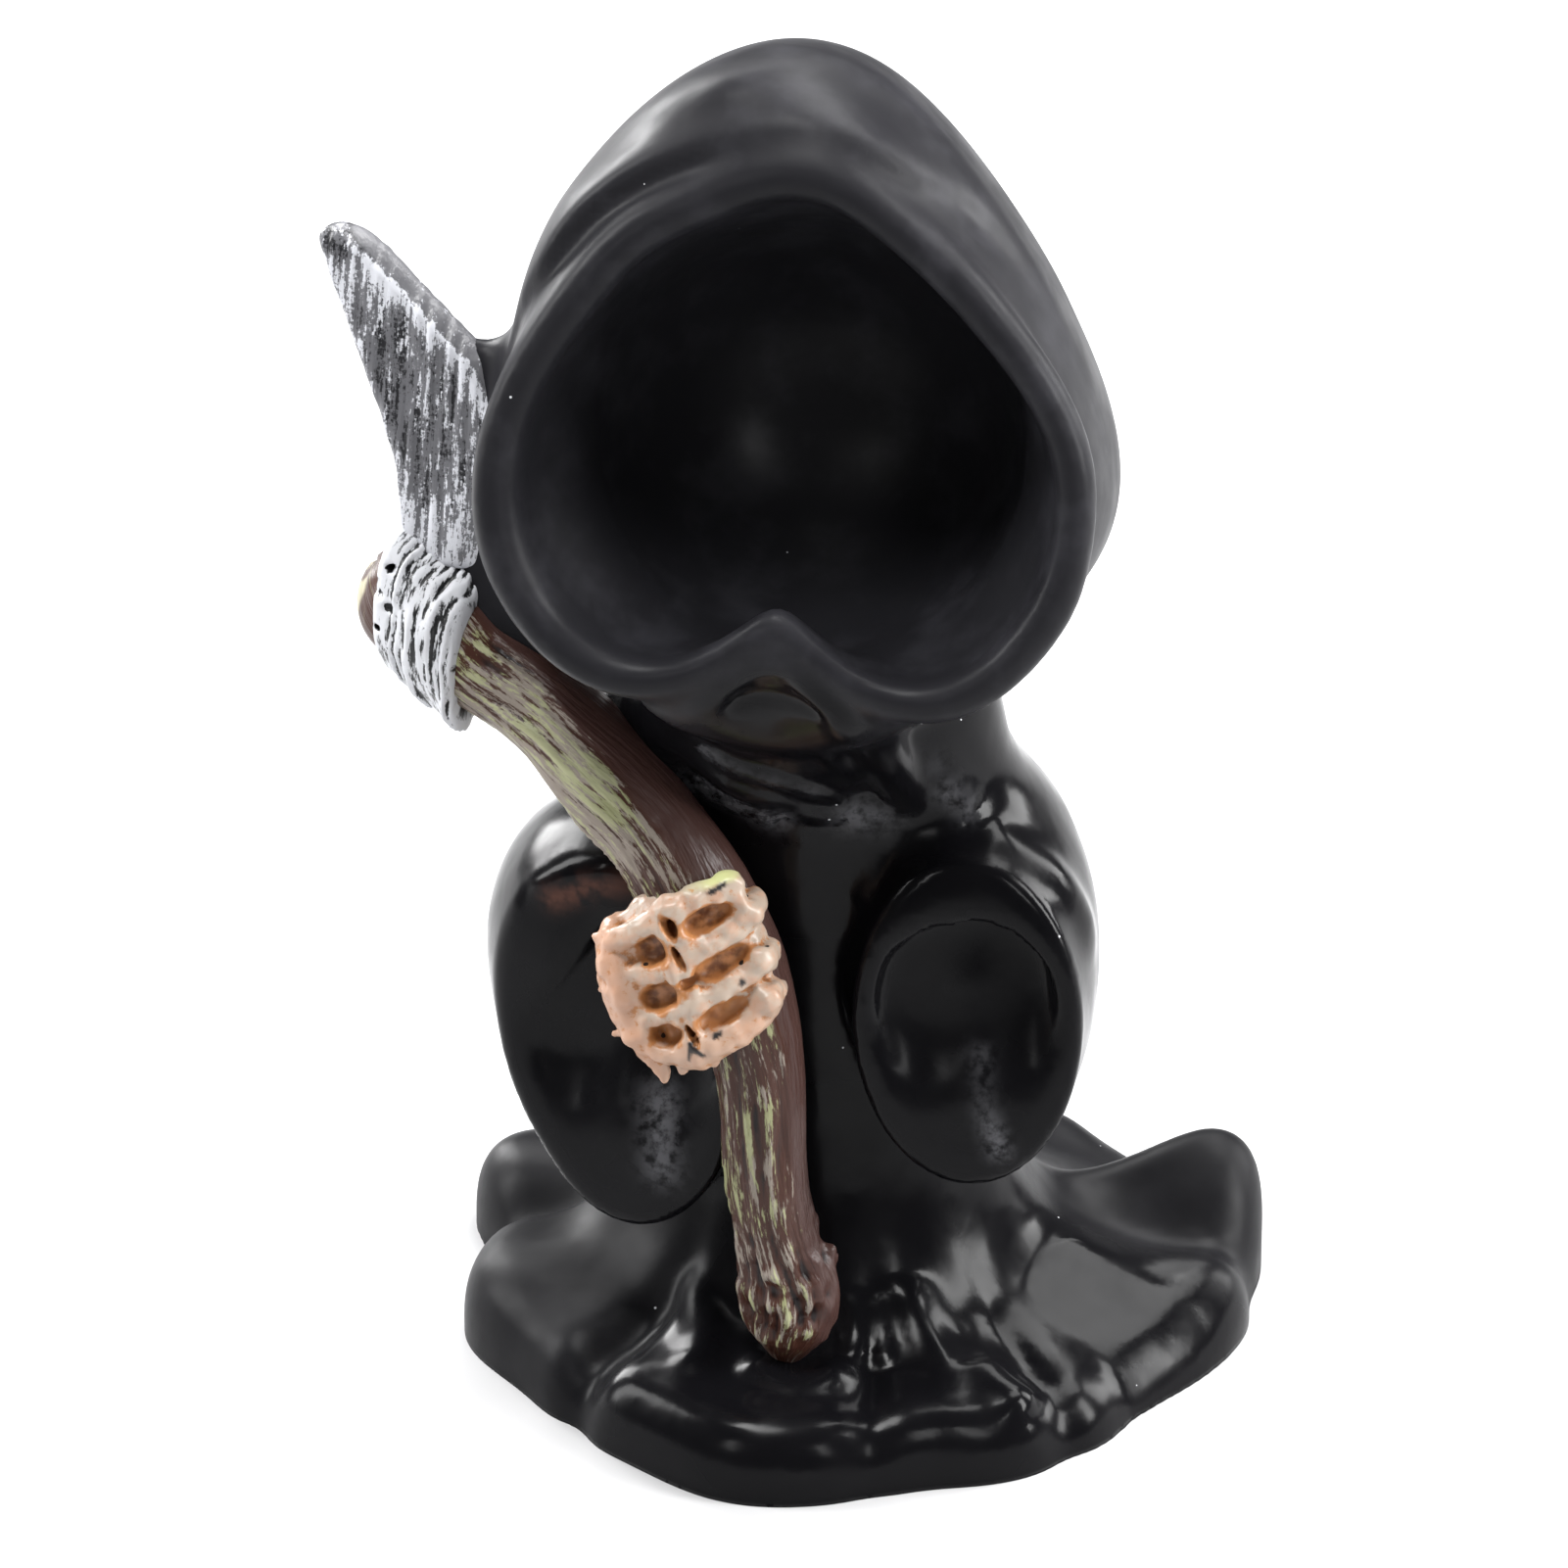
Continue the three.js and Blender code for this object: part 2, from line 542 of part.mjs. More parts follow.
function hand() {
  const pieces = PALM.map(({ middle, half }) =>
    new THREE.SphereGeometry(1, 10, 7).scale(...half).translate(...middle),
  );
  FINGER_HEIGHTS.forEach((height, finger) => {
    const shift = 0.25 * finger;
    const knuckle = -3.2 + 0.4 * shift;
    pieces.push(bone([-8 + shift, height - 1, 3], [knuckle - 0.3, height, 5.7], 1.7, 1.75, 0.7));
    pieces.push(bone([knuckle + 0.3, height + 0.1, 5.7], [3.6, height + 0.9, 4.4], 1.75, 1.9, 0.75));
    pieces.push(bone([3.9, height + 0.9, 4.1], [4.6, height + 0.7, 0.6], 1.8, 1.4, 0.3));
  });
  pieces.push(bone([-7.2, -4.6, 3], [-4.4, -8.4, 3.4], 1.8, 1.3, 0.4));
  pieces.push(bone([-3.2, -7.2, 3.8], [-0.6, -7.6, 3.6], 1.5, 1.3, 0.4));
  const frame = frameFrom(HAND_UP, HAND_FRONT, HAND_MIDDLE);
  return pieces.map((piece) => toSolid(piece.applyMatrix4(frame))).reduce((all, piece) => all.add(piece));
}

// A web of resin joins the blade's back to the side of the hood
const WEB = { middle: [-29.4, -12.4, 91.4], half: [3.4, 3.6, 6.5] };
function web() {
  return toSolid(new THREE.SphereGeometry(1, 10, 8).scale(...WEB.half).translate(...WEB.middle));
}

// Everything is cast as one
function casting() {
  const cloth = [robe(), sleeve(LEFT_SLEEVE), sleeve(RIGHT_SLEEVE), hood(), ...CHEST_FOLDS.map(chestFold)];
  const robed = cloth.reduce((all, piece) => all.add(piece)).subtract(hoodHollow());
  const whole = [staff(), binding(), blade(), web(), hand()].reduce((all, piece) => all.add(piece), robed);
  const { numProp, vertProperties, triVerts } = whole.getMesh();
  const places = new Float32Array((vertProperties.length / numProp) * 3);
  for (let i = 0; i < places.length; i++) {
    places[i] = vertProperties[Math.floor(i / 3) * numProp + (i % 3)];
  }
  const geometry = new THREE.BufferGeometry();
  geometry.setAttribute("position", new THREE.BufferAttribute(places, 3));
  geometry.setIndex(new THREE.BufferAttribute(new Uint32Array(triVerts), 1));
  geometry.computeVertexNormals();
  return geometry;
}

const paint = new THREE.MeshStandardMaterial({ color: ROBE_BLACK, roughness: 0.35, metalness: 0 });
const figurine = new THREE.Mesh(casting(), paint);
figurine.name = "reaper_figurine";

const part = new THREE.Group();
part.add(figurine);
export default part;
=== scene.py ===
import math
import bpy
import numpy as np
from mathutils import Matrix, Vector


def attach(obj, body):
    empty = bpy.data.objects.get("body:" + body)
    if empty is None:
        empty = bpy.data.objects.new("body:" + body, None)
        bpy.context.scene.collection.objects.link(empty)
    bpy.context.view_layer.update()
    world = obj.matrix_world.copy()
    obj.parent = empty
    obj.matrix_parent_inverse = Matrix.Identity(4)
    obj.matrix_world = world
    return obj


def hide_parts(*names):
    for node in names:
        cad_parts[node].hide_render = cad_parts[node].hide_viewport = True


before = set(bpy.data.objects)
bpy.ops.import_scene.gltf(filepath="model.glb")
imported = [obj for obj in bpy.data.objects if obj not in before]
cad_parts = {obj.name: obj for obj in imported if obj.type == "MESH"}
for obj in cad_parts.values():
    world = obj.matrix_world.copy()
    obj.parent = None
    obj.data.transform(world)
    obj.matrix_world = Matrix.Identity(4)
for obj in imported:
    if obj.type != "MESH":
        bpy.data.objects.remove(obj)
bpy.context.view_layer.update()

# Camera: a long lens a little to the right of the front, looking down on the figure as it stands on a
# table. Left and right are a viewer's, with +X to the right and the front towards -Y, and the object's
# own sizes are in millimetres
MM = 0.001
AIM = Vector((-7.5, -1.5, 51.0)) * MM
CAMERA_SIDE = math.radians(12)
CAMERA_HEIGHT = math.radians(28)
CAMERA_AWAY = 0.75
IMAGE_SIDE = 1601
PIXEL = 0.0843  # the width of the figure that one pixel shows
VIEW_WIDTH = IMAGE_SIDE * PIXEL * MM
SENSOR = 36.0


def new_object(name, data):
    made = bpy.data.objects.new(name, data)
    bpy.context.scene.collection.objects.link(made)
    return made


towards = Vector((
    math.sin(CAMERA_SIDE) * math.cos(CAMERA_HEIGHT),
    -math.cos(CAMERA_SIDE) * math.cos(CAMERA_HEIGHT),
    math.sin(CAMERA_HEIGHT),
))
camera_data = bpy.data.cameras.new("camera")
camera_data.sensor_width = SENSOR
camera_data.lens = SENSOR * CAMERA_AWAY / VIEW_WIDTH
camera_data.clip_start = 0.01
camera_data.clip_end = 20
camera = new_object("camera", camera_data)
camera.location = AIM + CAMERA_AWAY * towards
camera.rotation_euler = (-towards).to_track_quat("-Z", "Y").to_euler()
bpy.context.scene.camera = camera

# Floor: a wide sheet of matt white card under the figure
FLOOR_HALF = 2.5
FLOOR_WHITE = (0.46, 0.46, 0.465, 1)
FLOOR_ROUGHNESS = 0.75
floor_mesh = bpy.data.meshes.new("floor")
corners = [(x * FLOOR_HALF, y * FLOOR_HALF, 0) for x, y in ((-1, -1), (1, -1), (1, 1), (-1, 1))]
floor_mesh.from_pydata(corners, [], [(0, 1, 2, 3)])
floor = new_object("floor", floor_mesh)
floor_paint = bpy.data.materials.new("white_card")
floor_paint.use_nodes = True
floor_shader = floor_paint.node_tree.nodes["Principled BSDF"]
floor_shader.inputs["Base Color"].default_value = FLOOR_WHITE
floor_shader.inputs["Roughness"].default_value = FLOOR_ROUGHNESS
floor_mesh.materials.append(floor_paint)

# Light: soft boxes over the figure, behind it, at its sides and in front, and a dim white room
ROOM_LIGHT = 0.12
LIGHTS = [  # name, place, width and height in metres, power in watts
    ("top_box", (0.24, 0.30, 0.88), 0.52, 0.50, 9.6),
    ("back_box", (-0.15, 0.75, 0.80), 0.90, 0.40, 7),
    ("left_box", (-0.75, -0.05, 0.42), 0.22, 0.55, 6),
    ("right_box", (0.75, 0.00, 0.42), 0.22, 0.55, 9.5),
    ("left_rim_box", (-0.60, 0.50, 0.35), 0.25, 0.50, 8),
    ("right_rim_box", (0.60, 0.50, 0.35), 0.25, 0.50, 5),
    ("brow_box", (-0.12, -0.20, 0.88), 0.35, 0.20, 6.5),
    ("front_left_box", (-0.40, -0.85, 0.55), 0.12, 0.30, 0.9),
    ("front_right_box", (0.62, -0.75, 0.55), 0.10, 0.35, 1.5),
]
for name, place, width, height, power in LIGHTS:
    light = bpy.data.lights.new(name, "AREA")
    light.shape = "RECTANGLE"
    light.size = width
    light.size_y = height
    light.energy = power
    lamp = new_object(name, light)
    lamp.location = place
    lamp.rotation_euler = (AIM - Vector(place)).to_track_quat("-Z", "Y").to_euler()
room = bpy.data.worlds.new("room")
room.use_nodes = True
walls = room.node_tree.nodes["Background"].inputs
walls["Color"].default_value = (1, 1, 1, 1)
walls["Strength"].default_value = ROOM_LIGHT
bpy.context.scene.world = room
bpy.context.scene.view_settings.view_transform = "Standard"


# Robe: the hooded cloak, cast in resin in one piece with its spread hem, both sleeves and the hollow
# hood, and painted black by hand. Its forms are functions of points, negative inside and close to the
# distance from the surface, so that they melt into each other as modelled clay does
def smooth_min(a, b, width):
    share = np.clip(0.5 + 0.5 * (b - a) / width, 0, 1)
    return b + (a - b) * share - width * share * (1 - share)


def smooth_max(a, b, width):
    return -smooth_min(-a, -b, width)


def ease(x, low, high):
    share = np.clip((x - low) / (high - low), 0, 1)
    return share * share * (3 - 2 * share)


def within(x, low, full, fades, gone):
    """1 from full to fades, 0 below low and above gone."""
    return ease(x, low, full) * (1 - ease(x, fades, gone))


def bell(x, width):
    return np.exp(-((x / width) ** 2))


def angle_between(angle, at):
    return (angle - at + 180) % 360 - 180


def bumps(angle, rows, column=2):
    """The sum of bumps round an axis, from rows of angle, width and height."""
    return sum(row[column] * bell(angle_between(angle, row[0]), row[1]) for row in rows)


def read_rows(rows, at):
    """Every further column of a table, read at values of its first column."""
    return [np.interp(at, rows[:, 0], column) for column in rows.T[1:]]


def unit(v):
    return v / np.linalg.norm(v, axis=-1, keepdims=True)


def square_to(axis, v):
    """The direction nearest to v that is square to axis, which may be rows of directions."""
    return unit(v - axis * (axis * v).sum(-1, keepdims=True))


def egg(p, middle, half):
    q = (p - np.array(middle)) / np.array(half)
    size = np.sqrt((q * q).sum(-1)) + 1e-9
    slope = np.sqrt(((q / np.array(half)) ** 2).sum(-1)) + 1e-9
    return size * (size - 1) / slope


def smooth_line(points, steps):
    """A smooth line through points, with steps pieces between each two."""
    knots = np.array(points, float)
    knots = np.vstack([2 * knots[0] - knots[1], knots, 2 * knots[-1] - knots[-2]])
    line = []
    for i in range(1, len(knots) - 2):
        a, b, c, d = knots[i - 1:i + 3]
        for t in np.arange(steps) / steps:
            bend = (2 * a - 5 * b + 4 * c - d) * t * t + (3 * b - a - 3 * c + d) * t ** 3
            line.append(0.5 * (2 * b + (c - a) * t + bend))
    return np.array(line + [knots[-2]])


def along(p, line):
    """How far p is from a line of points, and how far along the line that is, counted in points."""
    line = np.array(line, float)
    best = np.full(len(p), np.inf)
    place = np.zeros(len(p))
    for i in range(len(line) - 1):
        piece = line[i + 1] - line[i]
        share = np.clip(((p - line[i]) @ piece) / (piece @ piece), 0, 1)
        away = np.sqrt(((p - line[i] - share[:, None] * piece) ** 2).sum(-1))
        place = np.where(away < best, i + share, place)
        best = np.minimum(best, away)
    return best, place


NOISE_SIDE = 32
NOISE_TABLE = np.random.default_rng(7).random((NOISE_SIDE,) * 3)


def noise(p, cell):
    """Soft lumps about cell millimetres across, from 0 to 1. cell may differ along the three axes."""
    q = p / np.array(cell) + 100
    low = np.floor(q).astype(int)
    part = ease(q - low, 0, 1)
    total = 0
    for corner in np.ndindex(2, 2, 2):
        share = np.where(corner, part, 1 - part).prod(1)
        total = total + share * NOISE_TABLE[tuple((low + corner).T % NOISE_SIDE)]
    return total


# The hem, a puddle of cloth with lobes and creases. Angles are from the front, growing towards +X
HEM_REACH = 33.5
HEM_THICKNESS = 5.6
RIM_ROLL = 0.6
SWEEP_HEIGHT = 24
SWEEP_START = 11.5
SWEEP_FALL = 4.6
HEM_LOBES = [  # angle, width, how far out, how far up
    (-65, 14, 3.0, 1.6), (-101, 11, 4.4, 1.8), (-124, 12, -0.8, -3.7), (-36, 13, 1.4, 0.2),
    (-8, 17, 3.3, 0.6), (20, 8, -0.7, 0.5), (62, 15, -1.9, -0.4), (97, 9, 0.9, 1.6),
    (116, 12, 2.2, 6.2), (146, 15, -0.6, -3.1), (-154, 15, 0.4, 0.8), (180, 12, 0.2, 0.3),
]
HEM_CREASES = [  # angle, width, depth
    (-85, 5, 2.6), (-36, 4.5, 2.2), (98, 6, 2.6), (43, 5, 1.5), (11, 4, 0.7),
    (130, 9, 2.8), (-129, 6, 2.0), (165, 6, 1.5), (-168, 6, 1.5),
]
FACET_ANGLE = 69
FACET_WIDTH = 19
FACET_MIDDLE = (15.8, -10.2)
FACET_HEIGHT = 9
FACET_SLOPE = np.array([-0.369, 0.343])


def hem_form(p):
    x, y, z = p.T
    radius = np.hypot(x, y)
    angle = np.degrees(np.arctan2(x, -y))
    reach = HEM_REACH + bumps(angle, HEM_LOBES)
    lift = bumps(angle, HEM_LOBES, column=3)
    crease = bumps(angle, HEM_CREASES)
    from_trunk = np.hypot((x + 3.6) / 1.05, y + 2)
    sweep = SWEEP_HEIGHT * np.exp(-np.clip(from_trunk - SWEEP_START, 0, None) / SWEEP_FALL)
    outside = ease(radius, 13, 31)
    height = HEM_THICKNESS + sweep + (lift - crease) * outside + RIM_ROLL * ease(radius, 24, 33)
    facet = FACET_HEIGHT + (p[:, :2] - FACET_MIDDLE) @ FACET_SLOPE
    share = bell(angle_between(angle, FACET_ANGLE), FACET_WIDTH) ** 1.4 * ease(radius, 15, 20)
    height = height + (facet - height) * np.clip(1.5 * share, 0, 1)
    return smooth_max((z - height) * 0.75, radius - reach + 0.35 * crease * outside, 5)


# The trunk, an oval column, with long shallow folds down its back
TRUNK_TOP = 74
TRUNK = np.array([  # height, half width, half depth, the middle's x and y
    (0, 15, 14, -3.6, -2), (14, 13.6, 12.6, -3.8, -2.2), (26, 13, 12.4, -4.2, -2.6),
    (36, 14.6, 13.6, -4.8, -3.2), (46, 17, 14.6, -5, -3.8), (54, 16, 14.2, -4.8, -4.2),
    (61, 12.6, 14.4, -4.6, -5.2), (68, 12.6, 13.4, -3.6, -6.6), (80, 11.5, 12, -3, -8),
])
BACK_FOLDS = [  # angle, width, depth
    (148, 8, 1.5), (172, 6, 1.1), (-164, 8, 1.6), (-138, 7, 1.1),
]


def trunk_form(p):
    z = p[:, 2]
    wide, deep, middle_x, middle_y = read_rows(TRUNK, z)
    x, y = p[:, 0] - middle_x, p[:, 1] - middle_y
    oval = np.hypot(x / wide, y / deep)
    fold = bumps(np.degrees(np.arctan2(x, -y)), BACK_FOLDS) * within(z, 8, 22, 42, 60)
    return smooth_max((oval - 1) * np.minimum(wide, deep) * 0.9 + fold, z - TRUNK_TOP, 6)


# A sleeve: an egg-shaped bag of cloth with an oval mouth that is dished like a spoon
def mouth_axes(looks, lean):
    """Across, up and outward of a mouth, from the way it looks and its lean in degrees."""
    out = unit(np.array(looks))
    right = unit(np.cross((0, 0, 1), out))
    up = np.cross(out, right)
    c, s = math.cos(math.radians(lean)), math.sin(math.radians(lean))
    return c * right + s * up, c * up - s * right, out


SLEEVE_LENGTH = 14
DISH_TILT = 0.26
LEFT_SLEEVE = {
    "arm": ((-21.6, -8, 40.4), (9.7, 11.5, 11.2)), "bag": ((-19.5, -13.5, 38), (10.5, 11, 15.5)),
    "mouth": (-17, -23, 35.5), "axes": mouth_axes((-0.22, -1, 0.12), 4),
    "half": (10.6, 16.6), "lip": 1.5, "dish": 3.6, "ridge": (-1.0, 1.8, 1.1),
}
RIGHT_SLEEVE = {
    "arm": ((9.8, -6.6, 44), (10.2, 12.5, 12.8)), "bag": ((11.8, -13, 41), (9.3, 11, 13.8)),
    "mouth": (12.6, -22.5, 40.6), "axes": mouth_axes((0.12, -1, 0.16), 3),
    "half": (9.7, 14.4), "lip": 1.9, "dish": 3.2, "ridge": (0.8, 2.4, 1.5),
}


def mouth_place(p, sleeve):
    """How far p is across, above and in front of the middle of a sleeve's mouth."""
    return ((p - np.array(sleeve["mouth"])) @ axis for axis in sleeve["axes"])


def sleeve_form(p, sleeve):
    a, b, c = mouth_place(p, sleeve)
    wide, high = sleeve["half"]
    oval = (np.hypot(a / wide, b / high) - 1) * wide * 0.9
    tube = smooth_max(smooth_max(oval + np.clip(-c, 0, None) * 0.05, c, 1.6), -c - SLEEVE_LENGTH, 5)
    cloth = smooth_max(smooth_min(egg(p, *sleeve["bag"]), tube, 4), c, 1.2)
    lip, dish = sleeve["lip"], sleeve["dish"]
    at, width, height = sleeve["ridge"]
    ridge = height * bell(a - at, width * (1 + 0.05 * np.clip(8 - b, 0, 20))) * ease(-b, -10, -3)
    depth = (c + DISH_TILT * b - ridge) / dish
    hollow = np.sqrt((a / (wide - lip)) ** 2 + (b / (high - lip)) ** 2 + depth ** 2) - 1
    cloth = smooth_max(cloth, -hollow * dish * 0.8, 0.8)
    return smooth_min(egg(p, *sleeve["arm"]), cloth, 4)


def dish_share(p, sleeve):
    """1 inside a sleeve's mouth, 0 outside it."""
    a, b, c = mouth_place(p, sleeve)
    wide, high = sleeve["half"]
    inside = 1 - np.hypot(a / (wide - sleeve["lip"]), b / (high - sleeve["lip"]))
    return ease(inside, 0, 0.15) * ease(c, -11, -8)


# The hood. Its own axes are right, up and inward from the middle of the opening, and an angle there
# is from the top of the opening, growing to the right
HOOD_TILT = math.radians(15)
HOOD_MIDDLE = np.array([-2.4, -25.4, 94])
HOOD_UP = np.array([0, math.sin(HOOD_TILT), math.cos(HOOD_TILT)])
HOOD_IN = np.array([0, math.cos(HOOD_TILT), -math.sin(HOOD_TILT)])
HOOD_WIDEST = 12
HOOD_BACK = 27
HOOD_FRONT = 22
HOOD_ASIDE = -1.1
HOOD_SQUARENESS = 2.3
HOOD_RADIUS = 24.6
HOOD_BUMPS = [  # angle, width, how much wider the hood is there
    (-3.5, 34.5, 7.8), (-48, 24, 1.5), (36, 24, -1.1), (102, 16, 0.5), (16, 16, -0.7), (66, 18, -0.4),
]
OPENING_RADIUS = 19.2
OPENING_BUMPS = [  # angle, width, how much wider the opening is there
    (0, 18, 1.9), (-36, 20, 0.6), (42, 20, -0.6), (86, 16, 0.5), (180, 25, -10.4),
]
BOWL_RADIUS = 19
BOWL_DEPTH = 27
BOWL_SQUARENESS = 2.4


def hood_place(p, aside=0):
    """Distance from the hood's axis, angle round it and depth behind the opening."""
    q = p - HOOD_MIDDLE
    u, v, w = q[:, 0] - aside, q @ HOOD_UP, q @ HOOD_IN
    return np.hypot(u, v), np.degrees(np.arctan2(u, v)), w


def opening_radius(angle):
    cheeks = 3.9 * ease(np.abs(angle), 50, 118)
    return OPENING_RADIUS + cheeks + bumps(angle, OPENING_BUMPS)


def hood_radius(angle):
    side = np.abs(angle)
    jowls = 2.2 * ease(side, 60, 115) - 1.6 * bell(side - 135, 22)
    return HOOD_RADIUS + jowls + bumps(angle, HOOD_BUMPS)


def hood_form(p):
    rho, angle, w = hood_place(p, HOOD_ASIDE)
    full = hood_radius(angle)
    length = np.where(w > HOOD_WIDEST, HOOD_BACK, HOOD_FRONT)
    reach = (rho / full) ** HOOD_SQUARENESS + (np.abs(w - HOOD_WIDEST) / length) ** HOOD_SQUARENESS
    shell = (reach ** (1 / HOOD_SQUARENESS) - 1) * np.minimum(full, length) * 0.95
    throat = 6 * bell(180 - np.abs(angle), 42) * ease(rho - opening_radius(angle), 3.5, 15)
    return smooth_max(shell, 0.6 + throat - w, 2.5)


def hood_lip(p):
    rho, angle, w = hood_place(p)
    thick = 2 + 0.3 * bell(angle + 118, 30) - 0.25 * bell(angle - 110, 40)
    ring = opening_radius(angle) + thick - 0.1 + 0.5 * bell(angle + 118, 30)
    return np.hypot(rho - ring, w - 1.6) * 0.9 - thick


HOOD_CREASES = [  # from and to angle, distance from the opening at each, width, depth
    (-150, -20, 4.7, 4.9, 1.2, 0.8),
    (14, 104, 4.6, 4.6, 1.4, 0.9),
    (-40, 34, 8.2, 8.2, 1.9, 0.7),
    (98, 138, 5.8, 4.8, 1.1, 0.8),
]


def hood_creases(p):
    rho, angle, w = hood_place(p)
    away = rho - opening_radius(angle)
    fade = 12
    cut = np.zeros(len(p))
    for start, end, first, last, width, depth in HOOD_CREASES:
        share = np.clip((angle - start) / (end - start), 0, 1)
        there = within(angle, start - fade, start + fade, end - fade, end + fade)
        cut += depth * there * bell(away - first - (last - first) * share, width)
    return cut * (1 - ease(w, 7, 13))


def hood_bowl(p):
    rho, angle, w = hood_place(p)
    wide = opening_radius(angle)
    wide = wide + (BOWL_RADIUS - wide) * ease(w, 0.5, 11)
    reach = (rho / wide) ** BOWL_SQUARENESS + (np.clip(w, 0, None) / BOWL_DEPTH) ** BOWL_SQUARENESS
    return (reach ** (1 / BOWL_SQUARENESS) - 1) * BOWL_RADIUS * 0.9


CHEST_TUBES = [  # the line of a roll of cloth, its radius
    ([(-12.4, -18.6, 65), (-7.7, -20.8, 62), (-4, -19.4, 60.4), (1.4, -15.2, 57.6)], 1.8),
    ([(3.4, -24.6, 73.6), (4.8, -21.4, 67), (6.2, -16.4, 60), (8.8, -11.6, 54.4)], 1.8),
]
FOLDS = [  # a line on the cloth, how wide the fold is and how high it stands
    ([(-13.9, -20.5, 65.6), (-7.9, -28.9, 72.8), (-4.5, -29.2, 76.2), (-1.4, -29.3, 77),
      (1.3, -29.5, 74.4), (3.1, -28.8, 71.3), (3.8, -26, 68)], 1.2, 0.8),
    ([(-6.4, -28, 71.7), (-4.7, -28.2, 73.3), (0.5, -29.1, 73.4), (2.6, -29, 71.8)], 0.9, -0.6),
    ([(-9.7, -22.6, 64.8), (-7.3, -22.6, 63.8), (-4, -22.2, 62.7), (-1.2, -20.7, 61.2),
      (0.9, -18.6, 59.6), (0.9, -18.2, 58.4), (-1.3, -18.8, 58.0), (-4.6, -19.5, 59)], 0.8, 1.0),
    ([(-11, -18.3, 59.9), (-6.7, -19, 58.4), (-4, -18.9, 57.3)], 1.6, 1.0),
    ([(1.3, -17.6, 57.6), (4.9, -15.3, 57.3)], 1.6, 0.9),
    ([(0.8, -25.7, 67.6), (1.4, -21.9, 64.2), (2.1, -18.8, 60.8)], 0.6, 0.6),
    ([(3.1, -21.9, 65.9), (5.7, -14.6, 58.1), (7, -15.4, 54.7)], 0.7, 0.8),
    ([(6.9, -15.5, 64.6), (9.4, -15.5, 60.6), (11.2, -15, 57.4)], 1.8, 0.9),
    ([(2.9, -18, 66.6), (5.5, -17, 62.9), (7, -16, 58.3)], 0.9, -0.9),
    ([(4, -15.9, 54.2), (3.5, -16.7, 51.4), (2.6, -17.5, 48.7)], 0.9, 0.9),
    ([(12, -15.5, 55.6), (15, -16, 54.4), (18.6, -14.4, 52), (20.8, -13.4, 47.6),
      (21.4, -13, 43)], 2.0, 0.7),
    ([(-25.4, -18.6, 47.5), (-22, -19.9, 50.2), (-17.5, -20.2, 51.7)], 1.0, 0.8),
    ([(6.4, -16.6, 12.7), (8.2, -19.2, 9.4), (11, -22.6, 6.9), (13, -26.4, 5.6)], 2.0, 1.2),
    ([(13.4, -21, 7.6), (16, -23.2, 6.3), (19.6, -24.9, 5.2)], 2.0, 1.1),
    ([(-13.1, -17.3, 11.2), (-10, -23.6, 8.4), (-10.6, -29, 7)], 1.8, 0.8),
    ([(2.2, -18.6, 11.6), (3.4, -21.6, 9.4), (3.8, -25, 8)], 1.0, 0.5),
    ([(3.9, -18.6, 11.6), (5.3, -21.4, 9), (6.2, -24.4, 7.6)], 1.0, 0.5),
    ([(-5.4, -25.4, 8.6), (-3.6, -27.6, 7.4), (-0.8, -28.2, 7), (2, -26.8, 7.6),
      (3, -24.6, 8.6)], 1.5, 1.0),
]


def folds(p):
    height = np.zeros(len(p))
    for line, width, depth in FOLDS:
        line = smooth_line(line, 3)
        reach = 2.6 * width
        near = np.all((p > line.min(0) - reach) & (p < line.max(0) + reach), axis=1)
        away, at = along(p[near], line)
        share = at / (len(line) - 1)
        height[near] += depth * bell(away, width) * within(share, -0.05, 0.2, 0.75, 1.05)
    return height


# The blade leans on the hood, and the clay was drawn across behind them as a web. The blade's own
# axes are right, up and forward from its root
BLADE_ROOT = np.array([-35, -13, 73])
BLADE_FACES = np.array([-0.1, -0.97, 0.22])
WEB_TOP = 21.4
WEB_SAG = 0.05
WEB_HALF_WIDTH = 6
WEB_HALF_DEPTH = 1.2


def blade_place(p):
    front = unit(BLADE_FACES)
    right = unit(np.cross(front, (0, 0, -1)))
    up = np.cross(right, -front)
    q = p - BLADE_ROOT
    return q @ right, q @ up, q @ front


def web_form(p):
    a, b, c = blade_place(p)
    top = (b - WEB_TOP - WEB_SAG * (a - 4) ** 2) * 0.75
    slab = smooth_max(np.abs(a - WEB_HALF_WIDTH) - WEB_HALF_WIDTH, np.abs(c + 0.2) - WEB_HALF_DEPTH, 1.2)
    return smooth_max(smooth_max(slab, top, 1.5), -b - 8, 1.5)


SHOULDERS = [  # middle and half sizes
    ((8.4, -4.5, 48.8), (9, 9.5, 9)),
    ((-13.4, -4, 47), (9, 9, 8)),
]
NECK = [  # middle, half sizes and how softly each mass of cloth under the hood joins the rest
    ((-4.6, -10.5, 66), (14.8, 13, 7.5), 3),
    ((7.4, -9, 57.5), (5.8, 6.6, 11), 6),
    ((-14.5, -11.5, 62), (6.5, 8, 6.5), 3),
]
CHEST_BOX = (-18, -32, 38), (16, -4, 80)


